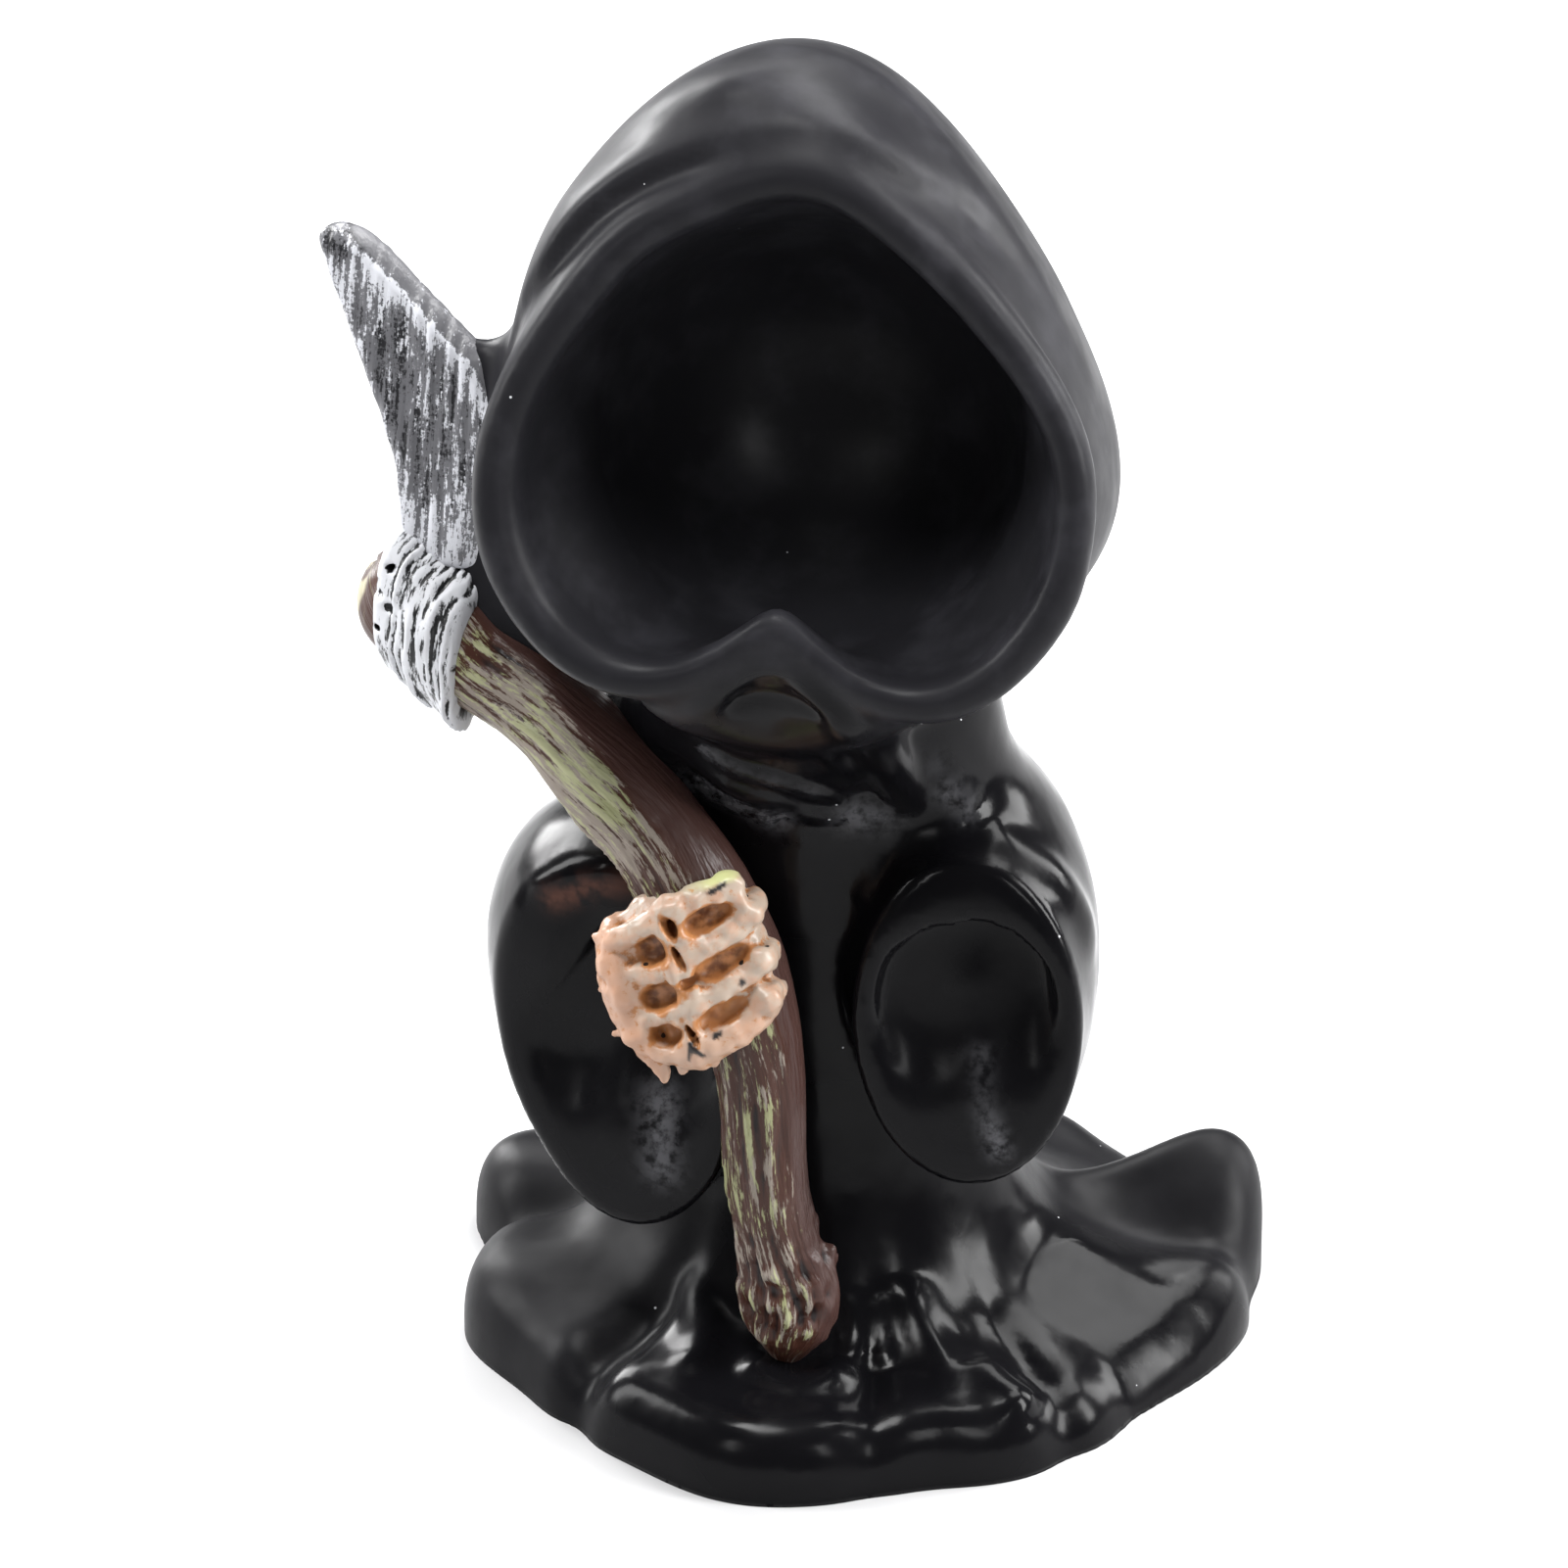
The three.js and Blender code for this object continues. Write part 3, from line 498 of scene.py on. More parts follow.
def robe_form(p):
    cloth = smooth_min(hem_form(p), trunk_form(p), 7)
    cloth = smooth_min(cloth, np.minimum(*(egg(p, *shoulder) for shoulder in SHOULDERS)), 5)
    for sleeve in (RIGHT_SLEEVE, LEFT_SLEEVE):
        cloth = smooth_min(cloth, sleeve_form(p, sleeve), 1.6)
    for middle, half, softness in NECK:
        cloth = smooth_min(cloth, egg(p, middle, half), softness)
    chest = np.all((p > CHEST_BOX[0]) & (p < CHEST_BOX[1]), axis=1)
    for crest, radius in CHEST_TUBES:
        fold = along(p[chest], smooth_line(crest, 3))[0] - radius
        cloth[chest] = smooth_min(cloth[chest], fold, 1.2)
    hood = smooth_min(hood_form(p), hood_lip(p), 1.6) + hood_creases(p)
    cloth = smooth_min(cloth, hood, 1.6 + 5 * ease(p[:, 1], -8, 4))
    cloth = smooth_min(cloth, web_form(p), 4) - folds(p)
    cloth = smooth_max(cloth, -hood_bowl(p), 0.9)
    return np.maximum(cloth, -p[:, 2])


COARSE_CELL = 4
POINTS_AT_ONCE = 300000


def skin(form, low, high, size):
    """Four-cornered faces over the surface of a form, on a grid of that size, drawn onto the surface."""
    low = np.array(low, float)
    block = size * COARSE_CELL
    count = np.ceil((np.array(high) - low) / block).astype(int)
    middles = [low[i] + block * (np.arange(count[i]) + 0.5) for i in range(3)]
    blocks = form(np.stack(np.meshgrid(*middles, indexing="ij"), -1).reshape(-1, 3)).reshape(count)
    values = np.where(blocks < 0, -9.0, 9.0)
    near = np.abs(blocks) < block * 1.6
    for axis in range(3):
        values = values.repeat(COARSE_CELL, axis)
        near = near.repeat(COARSE_CELL, axis)
    points = low + size * (np.argwhere(near) + 0.5)
    parts = np.array_split(points, len(points) // POINTS_AT_ONCE + 1)
    values[near] = np.concatenate([form(part) for part in parts])
    inside = values < 0

    # One point in each cell that the surface crosses, in the middle of the crossings on its edges
    corners_in = np.lib.stride_tricks.sliding_window_view(inside, (2, 2, 2)).sum((3, 4, 5))
    cells = np.argwhere((corners_in > 0) & (corners_in < 8))
    number = np.full(corners_in.shape, -1)
    number[tuple(cells.T)] = np.arange(len(cells))
    total = np.zeros((len(cells), 3))
    crossings = np.zeros(len(cells))
    for axis, i, j in np.ndindex(3, 2, 2):
        start = cells + np.insert([i, j], axis, 0)
        first, last = values[tuple(start.T)], values[tuple((start + np.eye(3, dtype=int)[axis]).T)]
        crossed = (first < 0) != (last < 0)
        place = start.astype(float)
        place[:, axis] += np.where(crossed, first / np.where(first == last, 1, first - last), 0)
        total[crossed] += place[crossed]
        crossings[crossed] += 1
    verts = low + size * (total / crossings[:, None] + 0.5)

    # A face round each grid edge that the surface crosses, through the points of its four cells
    faces = []
    round_edge = np.array([(0, -1, -1), (0, 0, -1), (0, 0, 0), (0, -1, 0)])
    for axis in range(3):
        edges = np.argwhere(np.diff(inside, axis=axis))
        ring = np.stack([number[tuple((edges + cell).T)] for cell in np.roll(round_edge, axis, 1)], 1)
        outward = ~inside[tuple(edges.T)]
        ring[outward] = ring[outward][:, ::-1]
        faces.append(ring)

    # The points are moved along the form's slope to where it is zero
    step = 0.25 * size
    slope = np.stack([form(verts + step * axis) - form(verts - step * axis) for axis in np.eye(3)], 1)
    slope /= 2 * step
    steep = np.clip((slope * slope).sum(1), 0.2, None)
    move = np.clip(form(verts) / steep, -0.5 * size, 0.5 * size)
    return verts - move[:, None] * slope, np.concatenate(faces)


def gather(points, values, count):
    """The sum of the rows of values that belong to each of count points."""
    return np.stack([np.bincount(points, column, count) for column in values.T], 1)


def relief_mask(verts, faces, level, gain, rounds):
    """level, plus gain for each millimetre that a point lies below its surroundings, from 0 to 1."""
    pairs = np.concatenate([faces[:, [i, (i + side) % 4]] for side in (1, 3) for i in range(4)])
    neighbours = np.bincount(pairs[:, 0], minlength=len(verts))[:, None]
    around = verts
    for _ in range(rounds):
        around = gather(pairs[:, 0], around[pairs[:, 1]], len(verts)) / np.maximum(neighbours, 1)
    facing = np.cross(verts[faces[:, 2]] - verts[faces[:, 0]], verts[faces[:, 3]] - verts[faces[:, 1]])
    normals = gather(faces.ravel(), facing.repeat(4, 0), len(verts))
    normals /= np.linalg.norm(normals, axis=1)[:, None] + 1e-9
    return np.clip(level + gain * ((around - verts) * normals).sum(1), 0, 1)


def make_piece(name, verts, faces, masks, paint):
    """A smooth mesh from points in millimetres, riding on the casting. A mask has a number or a place
    for each point."""
    mesh = bpy.data.meshes.new(name)
    mesh.vertices.add(len(verts))
    mesh.vertices.foreach_set("co", (verts * MM).astype(np.float32).ravel())
    mesh.loops.add(faces.size)
    mesh.loops.foreach_set("vertex_index", faces.astype(np.int32).ravel())
    mesh.polygons.add(len(faces))
    mesh.polygons.foreach_set("loop_start", np.arange(0, faces.size, 4, dtype=np.int32))
    mesh.update(calc_edges=True)
    mesh.validate()
    mesh.polygons.foreach_set("use_smooth", [True] * len(mesh.polygons))
    for mask, values in masks.items():
        if values.ndim == 2:
            layer = mesh.attributes.new(mask, "FLOAT_VECTOR", "POINT")
            layer.data.foreach_set("vector", values.astype(np.float32).ravel())
        else:
            layer = mesh.attributes.new(mask, "FLOAT", "POINT")
            layer.data.foreach_set("value", values.astype(np.float32))
    mesh.materials.append(paint.material)
    piece = new_object(name, mesh)
    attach(piece, "root")
    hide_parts("reaper_figurine")


class Nodes:
    """Adds nodes to a material or a group, each with its settings and what feeds its sockets.

    A socket goes by its name, with _ for a space, or by its number after an _.
    """

    def __init__(self, tree):
        self.tree = tree

    def add(self, kind, settings=None, **feeds):
        node = self.tree.nodes.new(kind)
        for name, value in (settings or {}).items():
            setattr(node, name, value)
        for name, value in feeds.items():
            socket = node.inputs[int(name[1:]) if name[0] == "_" else name.replace("_", " ")]
            if isinstance(value, bpy.types.NodeSocket):
                self.tree.links.new(value, socket)
            else:
                socket.default_value = value
        return node

    def work_out(self, operation, a, b):
        return self.add("ShaderNodeMath", {"operation": operation}, _0=a, _1=b).outputs[0]

    def plus(self, a, b):
        return self.work_out("ADD", a, b)

    def times(self, a, b):
        return self.work_out("MULTIPLY", a, b)

    def moved(self, place, by):
        return self.add("ShaderNodeVectorMath", {"operation": "ADD"}, _0=place, _1=by).outputs[0]

    def span(self, value, low, high, first=0.0, last=1.0):
        feeds = {"From Min": low, "From Max": high, "To Min": first, "To Max": last}
        settings = {"interpolation_type": "SMOOTHSTEP"}
        return self.add("ShaderNodeMapRange", settings, Value=value, **feeds).outputs[0]

    def mix(self, share, a, b):
        return self.add("ShaderNodeMix", {"data_type": "RGBA"}, _0=share, _6=a, _7=b).outputs[2]

    def mask(self, name, output="Fac"):
        return self.add("ShaderNodeAttribute", {"attribute_name": name}).outputs[output]

    def lumps(self, place, size, detail=2.0, rough=0.5):
        feeds = {"Vector": place, "Scale": 1 / size, "Detail": detail, "Roughness": rough}
        return self.add("ShaderNodeTexNoise", **feeds).outputs["Fac"]


def new_group(name, inputs, output):
    """An empty shader node group that puts out one number. inputs holds each one's usual value."""
    group = bpy.data.node_groups.new(name, "ShaderNodeTree")
    for socket, usual in inputs.items():
        kind = "NodeSocketVector" if isinstance(usual, tuple) else "NodeSocketFloat"
        made = group.interface.new_socket(socket, in_out="INPUT", socket_type=kind)
        made.default_value = usual
    group.interface.new_socket(output, in_out="OUTPUT", socket_type="NodeSocketFloat")
    nodes = Nodes(group)
    return nodes, nodes.add("NodeGroupInput").outputs, nodes.add("NodeGroupOutput").inputs


# Brushed paint: low waves where the paint ran together, and a fine orange peel. Height in millimetres
paint_skin, given, gives = new_group(
    "paint_skin",
    {"Place": (0, 0, 0), "Waves": 0.05, "Wave size": 4.0, "Peel": 0.01},
    "Height",
)
wave_scale = paint_skin.work_out("DIVIDE", 1.0, given["Wave size"])
waves = paint_skin.add("ShaderNodeTexNoise", Vector=given["Place"], Scale=wave_scale, Detail=1.5)
waves = paint_skin.times(waves.outputs["Fac"], given["Waves"])
peel = paint_skin.times(paint_skin.lumps(given["Place"], 0.55, 3.0, 0.6), given["Peel"])
paint_skin.tree.links.new(paint_skin.plus(waves, peel), gives["Height"])

# Specks: grains of dust and burst bubbles, one here and there
specks, given, gives = new_group(
    "specks",
    {"Place": (0, 0, 0), "Spacing": 3.0, "Size": 0.12, "Share": 0.3},
    "Mask",
)
speck_scale = specks.work_out("DIVIDE", 1.0, given["Spacing"])
cells = specks.add("ShaderNodeTexVoronoi", Vector=given["Place"], Scale=speck_scale)
speck_edge = specks.work_out("DIVIDE", given["Size"], given["Spacing"])
dot = specks.work_out("LESS_THAN", cells.outputs["Distance"], speck_edge)
lot = specks.add("ShaderNodeSeparateColor", Color=cells.outputs["Color"]).outputs[0]
chosen = specks.work_out("LESS_THAN", lot, given["Share"])
specks.tree.links.new(specks.times(dot, chosen), gives["Mask"])


class Paint(Nodes):
    """The material of a painted zone: a ground color, further coats over it, and then its finish."""

    def __init__(self, name, ground):
        self.material = bpy.data.materials.new(name)
        self.material.use_nodes = True
        super().__init__(self.material.node_tree)
        self.color = ground
        metres = self.add("ShaderNodeTexCoord").outputs["Object"]
        scaled = self.add("ShaderNodeVectorMath", {"operation": "SCALE"}, Vector=metres, Scale=1 / MM)
        self.place = scaled.outputs[0]

    def effect(self, group, **feeds):
        return self.add("ShaderNodeGroup", {"node_tree": group.tree}, **feeds).outputs[0]

    def coat(self, color, share):
        self.color = self.mix(share, self.color, color)

    def finish(self, roughness, height, ior=1.45):
        sockets = self.tree.nodes["Principled BSDF"].inputs
        sockets["IOR"].default_value = ior
        bump = self.add("ShaderNodeBump", Height=height, Strength=1.0, Distance=MM).outputs[0]
        for name, value in (("Base Color", self.color), ("Roughness", roughness), ("Normal", bump)):
            self.tree.links.new(value, sockets[name])


ROBE_BLACK = (0.0032, 0.0031, 0.0038, 1)
SATIN_BLACK = (0.0125, 0.0123, 0.0145, 1)
ROBE_GREY = (0.0225, 0.0222, 0.0260, 1)
DUST_WHITE = (0.55, 0.56, 0.58, 1)
# The lighter grey of the rubbed patches is painted highlight, for light caught on the chest folds and in
# the sleeves' mouths
SCUFF_HIGHLIGHT_GREY = (0.085, 0.085, 0.092, 1)
BROWN_SMEAR = (0.11, 0.045, 0.03, 1)
SATIN = 0.40
GLOSSY = 0.19
paint = Paint("robe_black", SATIN_BLACK)
gloss = paint.mask("gloss")
worn = paint.span(paint.lumps(paint.place, 7.0, 4.0, 0.6), 0.45, 0.75)
paint.coat(ROBE_GREY, worn)
paint.coat(ROBE_BLACK, gloss)
smear = paint.times(paint.mask("smear"), paint.span(paint.lumps(paint.place, 2.0, 3.0), 0.3, 0.6))
paint.coat(BROWN_SMEAR, smear)
# Rubbed patches: the paint is duller there, and a lighter grey is painted on them as highlights
scuff_highlight_lumps = paint.span(paint.lumps(paint.place, 1.2, 4.0, 0.6), 0.32, 0.62)
scuff_highlight = paint.times(paint.mask("scuff_highlight"), scuff_highlight_lumps)
paint.coat(SCUFF_HIGHLIGHT_GREY, scuff_highlight)
dust = paint.effect(specks, Place=paint.place, Spacing=3.2, Size=0.11, Share=0.30)
paint.coat(DUST_WHITE, dust)
patch = paint.span(paint.lumps(paint.place, 5.0, 3.0), 0.3, 0.7, -0.05, 0.06)
roughness = paint.plus(paint.span(gloss, 0.0, 1.0, SATIN, GLOSSY), patch)
roughness = paint.plus(roughness, paint.span(paint.mask("dull"), 0.0, 2.0, 0.0, 0.20))
roughness = paint.plus(roughness, paint.span(scuff_highlight, 0.0, 1.0, 0.0, 0.15))
height = paint.effect(paint_skin, Place=paint.place, Waves=0.10, Wave_size=4.5, Peel=0.006)
paint.finish(roughness, height, ior=1.2)

SCUFF_HIGHLIGHTS = [  # where the gloss is rubbed off the folds and a lighter grey is painted on as highlights: a line on the cloth and how wide
    ([(-9.9, -22.4, 65.2), (-7.3, -22.6, 64), (-4, -22.2, 62.9), (-1.2, -20.7, 61.4)], 0.6),
    ([(-10.6, -18.8, 60.4), (-6.7, -19.4, 58.7), (-4.4, -19.3, 57.6)], 1.5),
    ([(1.7, -17.6, 57.7), (4.5, -15.7, 57.4)], 1.6),
    ([(7.2, -16, 64.4), (8.2, -16, 62.6)], 1.0),
    ([(9.4, -15.9, 60), (10.9, -15.3, 57.9)], 1.1),
    ([(-13.9, -23, 31), (-13.1, -24, 25.5)], 1.7),
    ([(13.6, -20.9, 37.6), (14.3, -22.3, 33.5), (15.8, -23.6, 30)], 1.0),
]
SMEAR_LINE = [(-23.4, -19.6, 48), (-20, -20.2, 49.8), (-16.4, -20.2, 50.4)]
CHIN = (-1, -26, 72.5)
CHIN_SHAPE = (1.6, 1.6, 1)

ROBE_GRID = 0.62
robe_verts, robe_faces = skin(robe_form, (-42, -41, -2), (42, 37, 125), ROBE_GRID)
robe_verts[:, 2] = np.maximum(robe_verts[:, 2], 0)

# The lowest ring of points is drawn out to the hem's side, for a clean edge on the table
RIM_HEIGHT = 0.25
RIM_INSIDE = 0.45
low = np.flatnonzero(robe_verts[:, 2] < RIM_HEIGHT)
foot = robe_verts[low] * (1, 1, 0)
inside = hem_form(foot)
rim = np.abs(inside) < RIM_INSIDE
low, foot, inside = low[rim], foot[rim], inside[rim]
step = 0.1
slopes = [hem_form(foot + step * axis) - hem_form(foot - step * axis) for axis in np.eye(3)[:2]]
foot[:, :2] -= inside[:, None] * unit(np.stack(slopes, 1))
robe_verts[low] = foot

# The paint is satin on the hood, glossy on the front below it and duller down the back, in the
# sleeves' mouths and round the left side and back of the hem
x, y, z = robe_verts.T
turned_to = np.degrees(np.arctan2(x, -y))
under_hood = 1 - ease(z, 66, 74)
from_chin = np.linalg.norm((robe_verts - CHIN) / CHIN_SHAPE, axis=1)
under_hood = np.maximum(under_hood, 1 - ease(from_chin, 3.5, 6))
front = ease(-y, -6, 6)
hem_part = 1 - ease(z, 12, 26)
hem_front = within(turned_to, -50, -15, 80, 100)
hem_gloss = 0.75 + 0.25 * hem_front
robe_gloss = under_hood * (hem_part * hem_gloss + (1 - hem_part) * (0.35 + 0.65 * front))
robe_gloss = np.where(hood_bowl(robe_verts) < 0.6, 0.05, robe_gloss)
dishes = np.maximum(dish_share(robe_verts, LEFT_SLEEVE), dish_share(robe_verts, RIGHT_SLEEVE))
robe_dull = np.maximum(dishes, 2 * hem_part * (1 - hem_front))
robe_smear = bell(along(robe_verts, SMEAR_LINE)[0], 1.0)
# Rubbed patches along the lines above: duller paint, with painted highlights in lighter grey
robe_scuff_highlight = np.max([bell(along(robe_verts, line)[0], width) for line, width in SCUFF_HIGHLIGHTS], axis=0)
make_piece(
    "robe", robe_verts, robe_faces,
    {"gloss": robe_gloss, "smear": robe_smear, "dull": robe_dull, "scuff_highlight": robe_scuff_highlight},
    paint,
)

# Staff: the scythe's crooked pole, cast with the robe, from the binding through the fist down to the
# hem. It is painted dark brown over modelled bark and dry-brushed with grey and moss green
STAFF_POINTS = [
    (-36.6, -13.0, 71.2), (-34.1, -13.7, 69.2), (-30.9, -14.6, 66.7), (-25.7, -16.4, 64.4),
    (-20.5, -18.8, 61.5), (-15.2, -21.1, 57), (-10.3, -22.5, 51.2), (-6.7, -23.6, 44.6),
    (-4.9, -24.2, 37), (-4.2, -24.8, 29), (-3.3, -24.5, 21), (-2.2, -24, 14), (-2.2, -24.2, 10.6),
    (-2.4, -24.4, 7.6),
]
STAFF_RADII = [5.1, 4.2, 4.1, 4.3, 4.4, 4.5, 4.5, 4.3, 3.8, 3.5, 3.4, 4.0, 3.5, 1.2]
STAFF_STEPS = 4
STAFF_LINE = smooth_line(STAFF_POINTS, STAFF_STEPS)
STAFF_LENGTHS = np.cumsum(np.linalg.norm(np.diff(STAFF_LINE, axis=0, prepend=STAFF_LINE[:1]), axis=1))
STAFF_ROWS = np.column_stack([
    np.arange(len(STAFF_LINE)), STAFF_LENGTHS, STAFF_LINE, np.gradient(STAFF_LINE, axis=0),
])
STAFF_FRONT = np.array([0.05, -0.97, 0.25])


def staff_place(p):
    """Distance from the staff's line, place along it in rows of STAFF_POINTS and in millimetres, and the
    angle round it, from the front and growing to the right."""
    away, at = along(p, STAFF_LINE)
    travelled, *rows = read_rows(STAFF_ROWS, at)
    nearest = np.stack(rows[:3], 1)
    direction = unit(np.stack(rows[3:], 1))
    outward = (p - nearest) / (away[:, None] + 1e-6)
    front = square_to(direction, STAFF_FRONT)
    side = np.cross(front, direction)
    turned = np.arctan2((outward * side).sum(1), (outward * front).sum(1))
    return away, at / STAFF_STEPS, travelled, turned


BARK_DEPTH = 0.7
GRAIN_RADIUS = 4.4
GRAIN_WANDER = 1.6


def smooth_side(travelled, turned):
    """1 on the right flank, where the bark has been smoothed away, and 0 on the bark."""
    lower = ease(travelled, 38, 48)
    upper = 1 - ease(travelled, 9, 20)
    return ease(turned - 0.25 - 0.45 * lower - 0.6 * upper, -0.05, 0.3)


def on_a_rod(travelled, radius, turned):
    """Place on a straight rod, from how far along it and how far round."""
    return np.stack([travelled, radius * np.cos(turned), radius * np.sin(turned)], 1)


def staff_grain_place(travelled, turned):
    """Place on the staff as if it were straight, with the grain's slow wander."""
    grain = on_a_rod(travelled, GRAIN_RADIUS, turned)
    for axis, start in ((1, 53), (2, 71)):
        grain[:, axis] += GRAIN_WANDER * (noise(grain + start, (9, 5, 5)) - 0.5)
    return grain


def staff_form(p):
    away, at, travelled, turned = staff_place(p)
    radius = np.interp(at, range(len(STAFF_RADII)), STAFF_RADII)
    grain = staff_grain_place(travelled, turned)
    bark = 1 - 2 * np.abs(noise(grain, (14, 1.3, 1.3)) - 0.5) - 0.75
    bark = bark + 0.7 * (noise(grain + 31, (5, 0.7, 0.7)) - 0.5)
    knobs = bell(travelled - 72, 4.5)
    swells = (noise(grain + 7, (7, 4, 4)) - 0.5) * 0.5 + knobs * (noise(p + 9, 1.5) - 0.42) * 1.8
    relief = BARK_DEPTH * bark * (1 - 0.9 * smooth_side(travelled, turned))
    relief = relief * (0.2 + 0.8 * ease(travelled, 6, 9)) * (1 - ease(travelled, 76, 79))
    return (away - radius - relief - swells) * 0.75


STAFF_BROWN = (0.048, 0.019, 0.013, 1)
STAFF_RED = (0.052, 0.026, 0.022, 1)
STAFF_BLACK = (0.010, 0.006, 0.006, 1)
FIBRE_GREY = (0.27, 0.238, 0.203, 1)
MOSS_GREEN = (0.34, 0.36, 0.19, 1)
END_CREAM = (0.46, 0.43, 0.30, 1)

# Dry brush: a nearly empty brush leaves paint on raised grain, in broken strokes
dry_brush, given, gives = new_group(
    "dry_brush",
    {"Grain": (0, 0, 0), "Raised": 0.5, "Cover": 0.5, "Stroke": 0.5},
    "Mask",
)
strokes = dry_brush.lumps(given["Grain"], 0.45, 5.0, 0.72)
level = dry_brush.plus(dry_brush.times(strokes, given["Stroke"]), given["Raised"])
usual = dry_brush.plus(dry_brush.times(given["Stroke"], 0.5), 1.0)
over = dry_brush.work_out("SUBTRACT", dry_brush.plus(level, given["Cover"]), usual)
dry_brush.tree.links.new(dry_brush.span(over, -0.06, 0.14), gives["Mask"])

paint = Paint("staff_brown", STAFF_BROWN)
grain = paint.mask("grain", "Vector")
raised = paint.mask("raised")
paint.coat(STAFF_RED, paint.mask("smooth"))
paint.coat(STAFF_BLACK, paint.span(raised, 0.45, 0.25))
fibres = paint.effect(dry_brush, Grain=grain, Raised=raised, Cover=paint.mask("fibre"), Stroke=2.2)
paint.coat(FIBRE_GREY, paint.times(fibres, 0.8))
moss_grain = paint.moved(grain, (40, 13, 5))
moss = paint.effect(dry_brush, Grain=moss_grain, Raised=raised, Cover=paint.mask("green"), Stroke=2.6)
paint.coat(MOSS_GREEN, paint.times(moss, 0.7))
paint.coat(END_CREAM, paint.mask("end"))
roughness = paint.span(fibres, 0.0, 1.0, 0.30, 0.58)
height = paint.effect(paint_skin, Place=paint.place, Waves=0.03, Wave_size=3.0, Peel=0.01)
height = paint.plus(paint.times(paint.lumps(grain, 0.5, 3.0), 0.22), height)
paint.finish(roughness, height, ior=1.3)

STROKE_STRETCH = (0.14, 1, 1)
STAFF_GRID = 0.36
staff_verts, staff_faces = skin(staff_form, (-45, -33, 0), (4, -5, 80), STAFF_GRID)
travelled, turned = staff_place(staff_verts)[2:]
staff_grain = staff_grain_place(travelled, turned) * STROKE_STRETCH
staff_raised = relief_mask(staff_verts, staff_faces, level=0.5, gain=-1.5, rounds=5)
flank = smooth_side(travelled, turned)
patches = 0.5 * (noise(staff_verts + 3, 4.5) - 0.5)
mossy = bell(travelled - 20, 10) + 0.40 * bell(travelled - 60, 16)
fibre_cover = 0.56 - 0.55 * flank + patches - 0.5 * (1 - ease(travelled, 0.3, 2.5))
fibre_cover -= 0.34 * ease(travelled, 36, 44) + 0.15 * bell(travelled - 33, 6)
moss_cover = 0.14 + 0.54 * mossy * (0.6 + 0.4 * bell(turned + 0.1, 0.5)) - 0.6 * flank - patches
end_strip = ease(-staff_verts[:, 0], 40.4, 41.0) * ease(noise(staff_verts, (1.2, 1.2, 3)), 0.3, 0.5)
make_piece(
    "scythe_staff", staff_verts, staff_faces,
    {
        "grain": staff_grain, "raised": staff_raised, "fibre": fibre_cover,
        "green": moss_cover, "smooth": flank, "end": end_strip * 0.8,
    },
    paint,
)

# Binding: cord wound round the end of the staff to hold the blade, modelled on the casting turn by
# turn, painted black and dry-brushed silver white
BINDING_AXIS = np.array([(-36.6, -13.2, 70.9), (-29.6, -15, 66.2)])
BINDING_START = -2.2
BINDING_END = 6.6
BINDING_RADIUS = 5.55
BINDING_FRONT = np.array([0.18, -0.86, 0.47])
COIL_LEAN = (0.35, 0.5)
CORD_PITCH = 0.9


def binding_place(p):
    """Distance from the axis, place along it at the coils' lean, and the angle round it."""
    direction = unit(BINDING_AXIS[1] - BINDING_AXIS[0])
    front = square_to(direction, BINDING_FRONT)
    q = p - BINDING_AXIS[0]
    forward, aside = q @ front, q @ np.cross(front, direction)
    coil = q @ direction + COIL_LEAN[0] * forward + COIL_LEAN[1] * aside
    return np.hypot(forward, aside), coil, np.arctan2(aside, forward)


def binding_form(p):
    away, coil, turned = binding_place(p)
    around = on_a_rod(coil, BINDING_RADIUS, turned)
    wander = coil + 1.7 * (noise(around + 5, (3, 3.0, 3.0)) - 0.5)
    turns = np.abs(np.sin(np.pi * wander / CORD_PITCH)) - 0.55
    strands = noise(np.stack([wander, around[:, 1], around[:, 2]], 1), (0.45, 2.6, 2.6)) - 0.5
    wound = ease(coil, BINDING_START + 1.6, BINDING_START + 2.8)
    lumps = 0.7 * (noise(p + 11, 2.6) - 0.5)
    pits = 1.3 * ease(noise(p + 3, 1.0), 0.66, 0.76) * (1 - wound)
    surface = away - BINDING_RADIUS - (0.3 * turns + 0.6 * strands) * wound - lumps + pits
    middle, half = (BINDING_END + BINDING_START) / 2, (BINDING_END - BINDING_START) / 2
    return smooth_max(surface * 0.7, (np.abs(coil - middle) - half) * 0.9, 0.9)


CORD_BLACK = (0.012, 0.012, 0.013, 1)
SILVER_WHITE = (0.60, 0.61, 0.64, 1)
paint = Paint("binding_silver", CORD_BLACK)
grain = paint.mask("grain", "Vector")
raised = paint.mask("raised")
silver = paint.effect(dry_brush, Grain=grain, Raised=raised, Cover=0.60, Stroke=2.0)
paint.coat(SILVER_WHITE, silver)
height = paint.effect(paint_skin, Place=paint.place, Waves=0.05, Wave_size=1.2, Peel=0.02)
paint.finish(paint.span(silver, 0.0, 1.0, 0.3, 0.5), height)

BINDING_GRID = 0.26
binding_verts, binding_faces = skin(binding_form, (-48, -24, 56), (-20, -2, 84), BINDING_GRID)
coil, turned = binding_place(binding_verts)[1:]
binding_grain = on_a_rod(coil, 1.2, turned)
binding_raised = relief_mask(binding_verts, binding_faces, level=0.5, gain=-3.5, rounds=4)
make_piece(
    "binding", binding_verts, binding_faces,
    {"grain": binding_grain, "raised": binding_raised}, paint,
)

# Blade: a short curved fang of cast resin that stands on the binding and leans on the hood. It is
# black with long silver strokes, and its cutting edge is bevelled and left plain grey
BLADE_ROWS = np.array([  # height, left edge, right edge
    (-2, -2.6, 3.4), (4, -2.9, 4.6), (10, -3.8, 6.4), (15, -5.7, 7.4), (20, -8, 4),
    (25, -10.3, -2), (29, -12, -6.7), (33, -12.6, -10.3),
])
BLADE_HALF = 1.9
BLADE_TIP = 30.0
BEVEL = 1.7


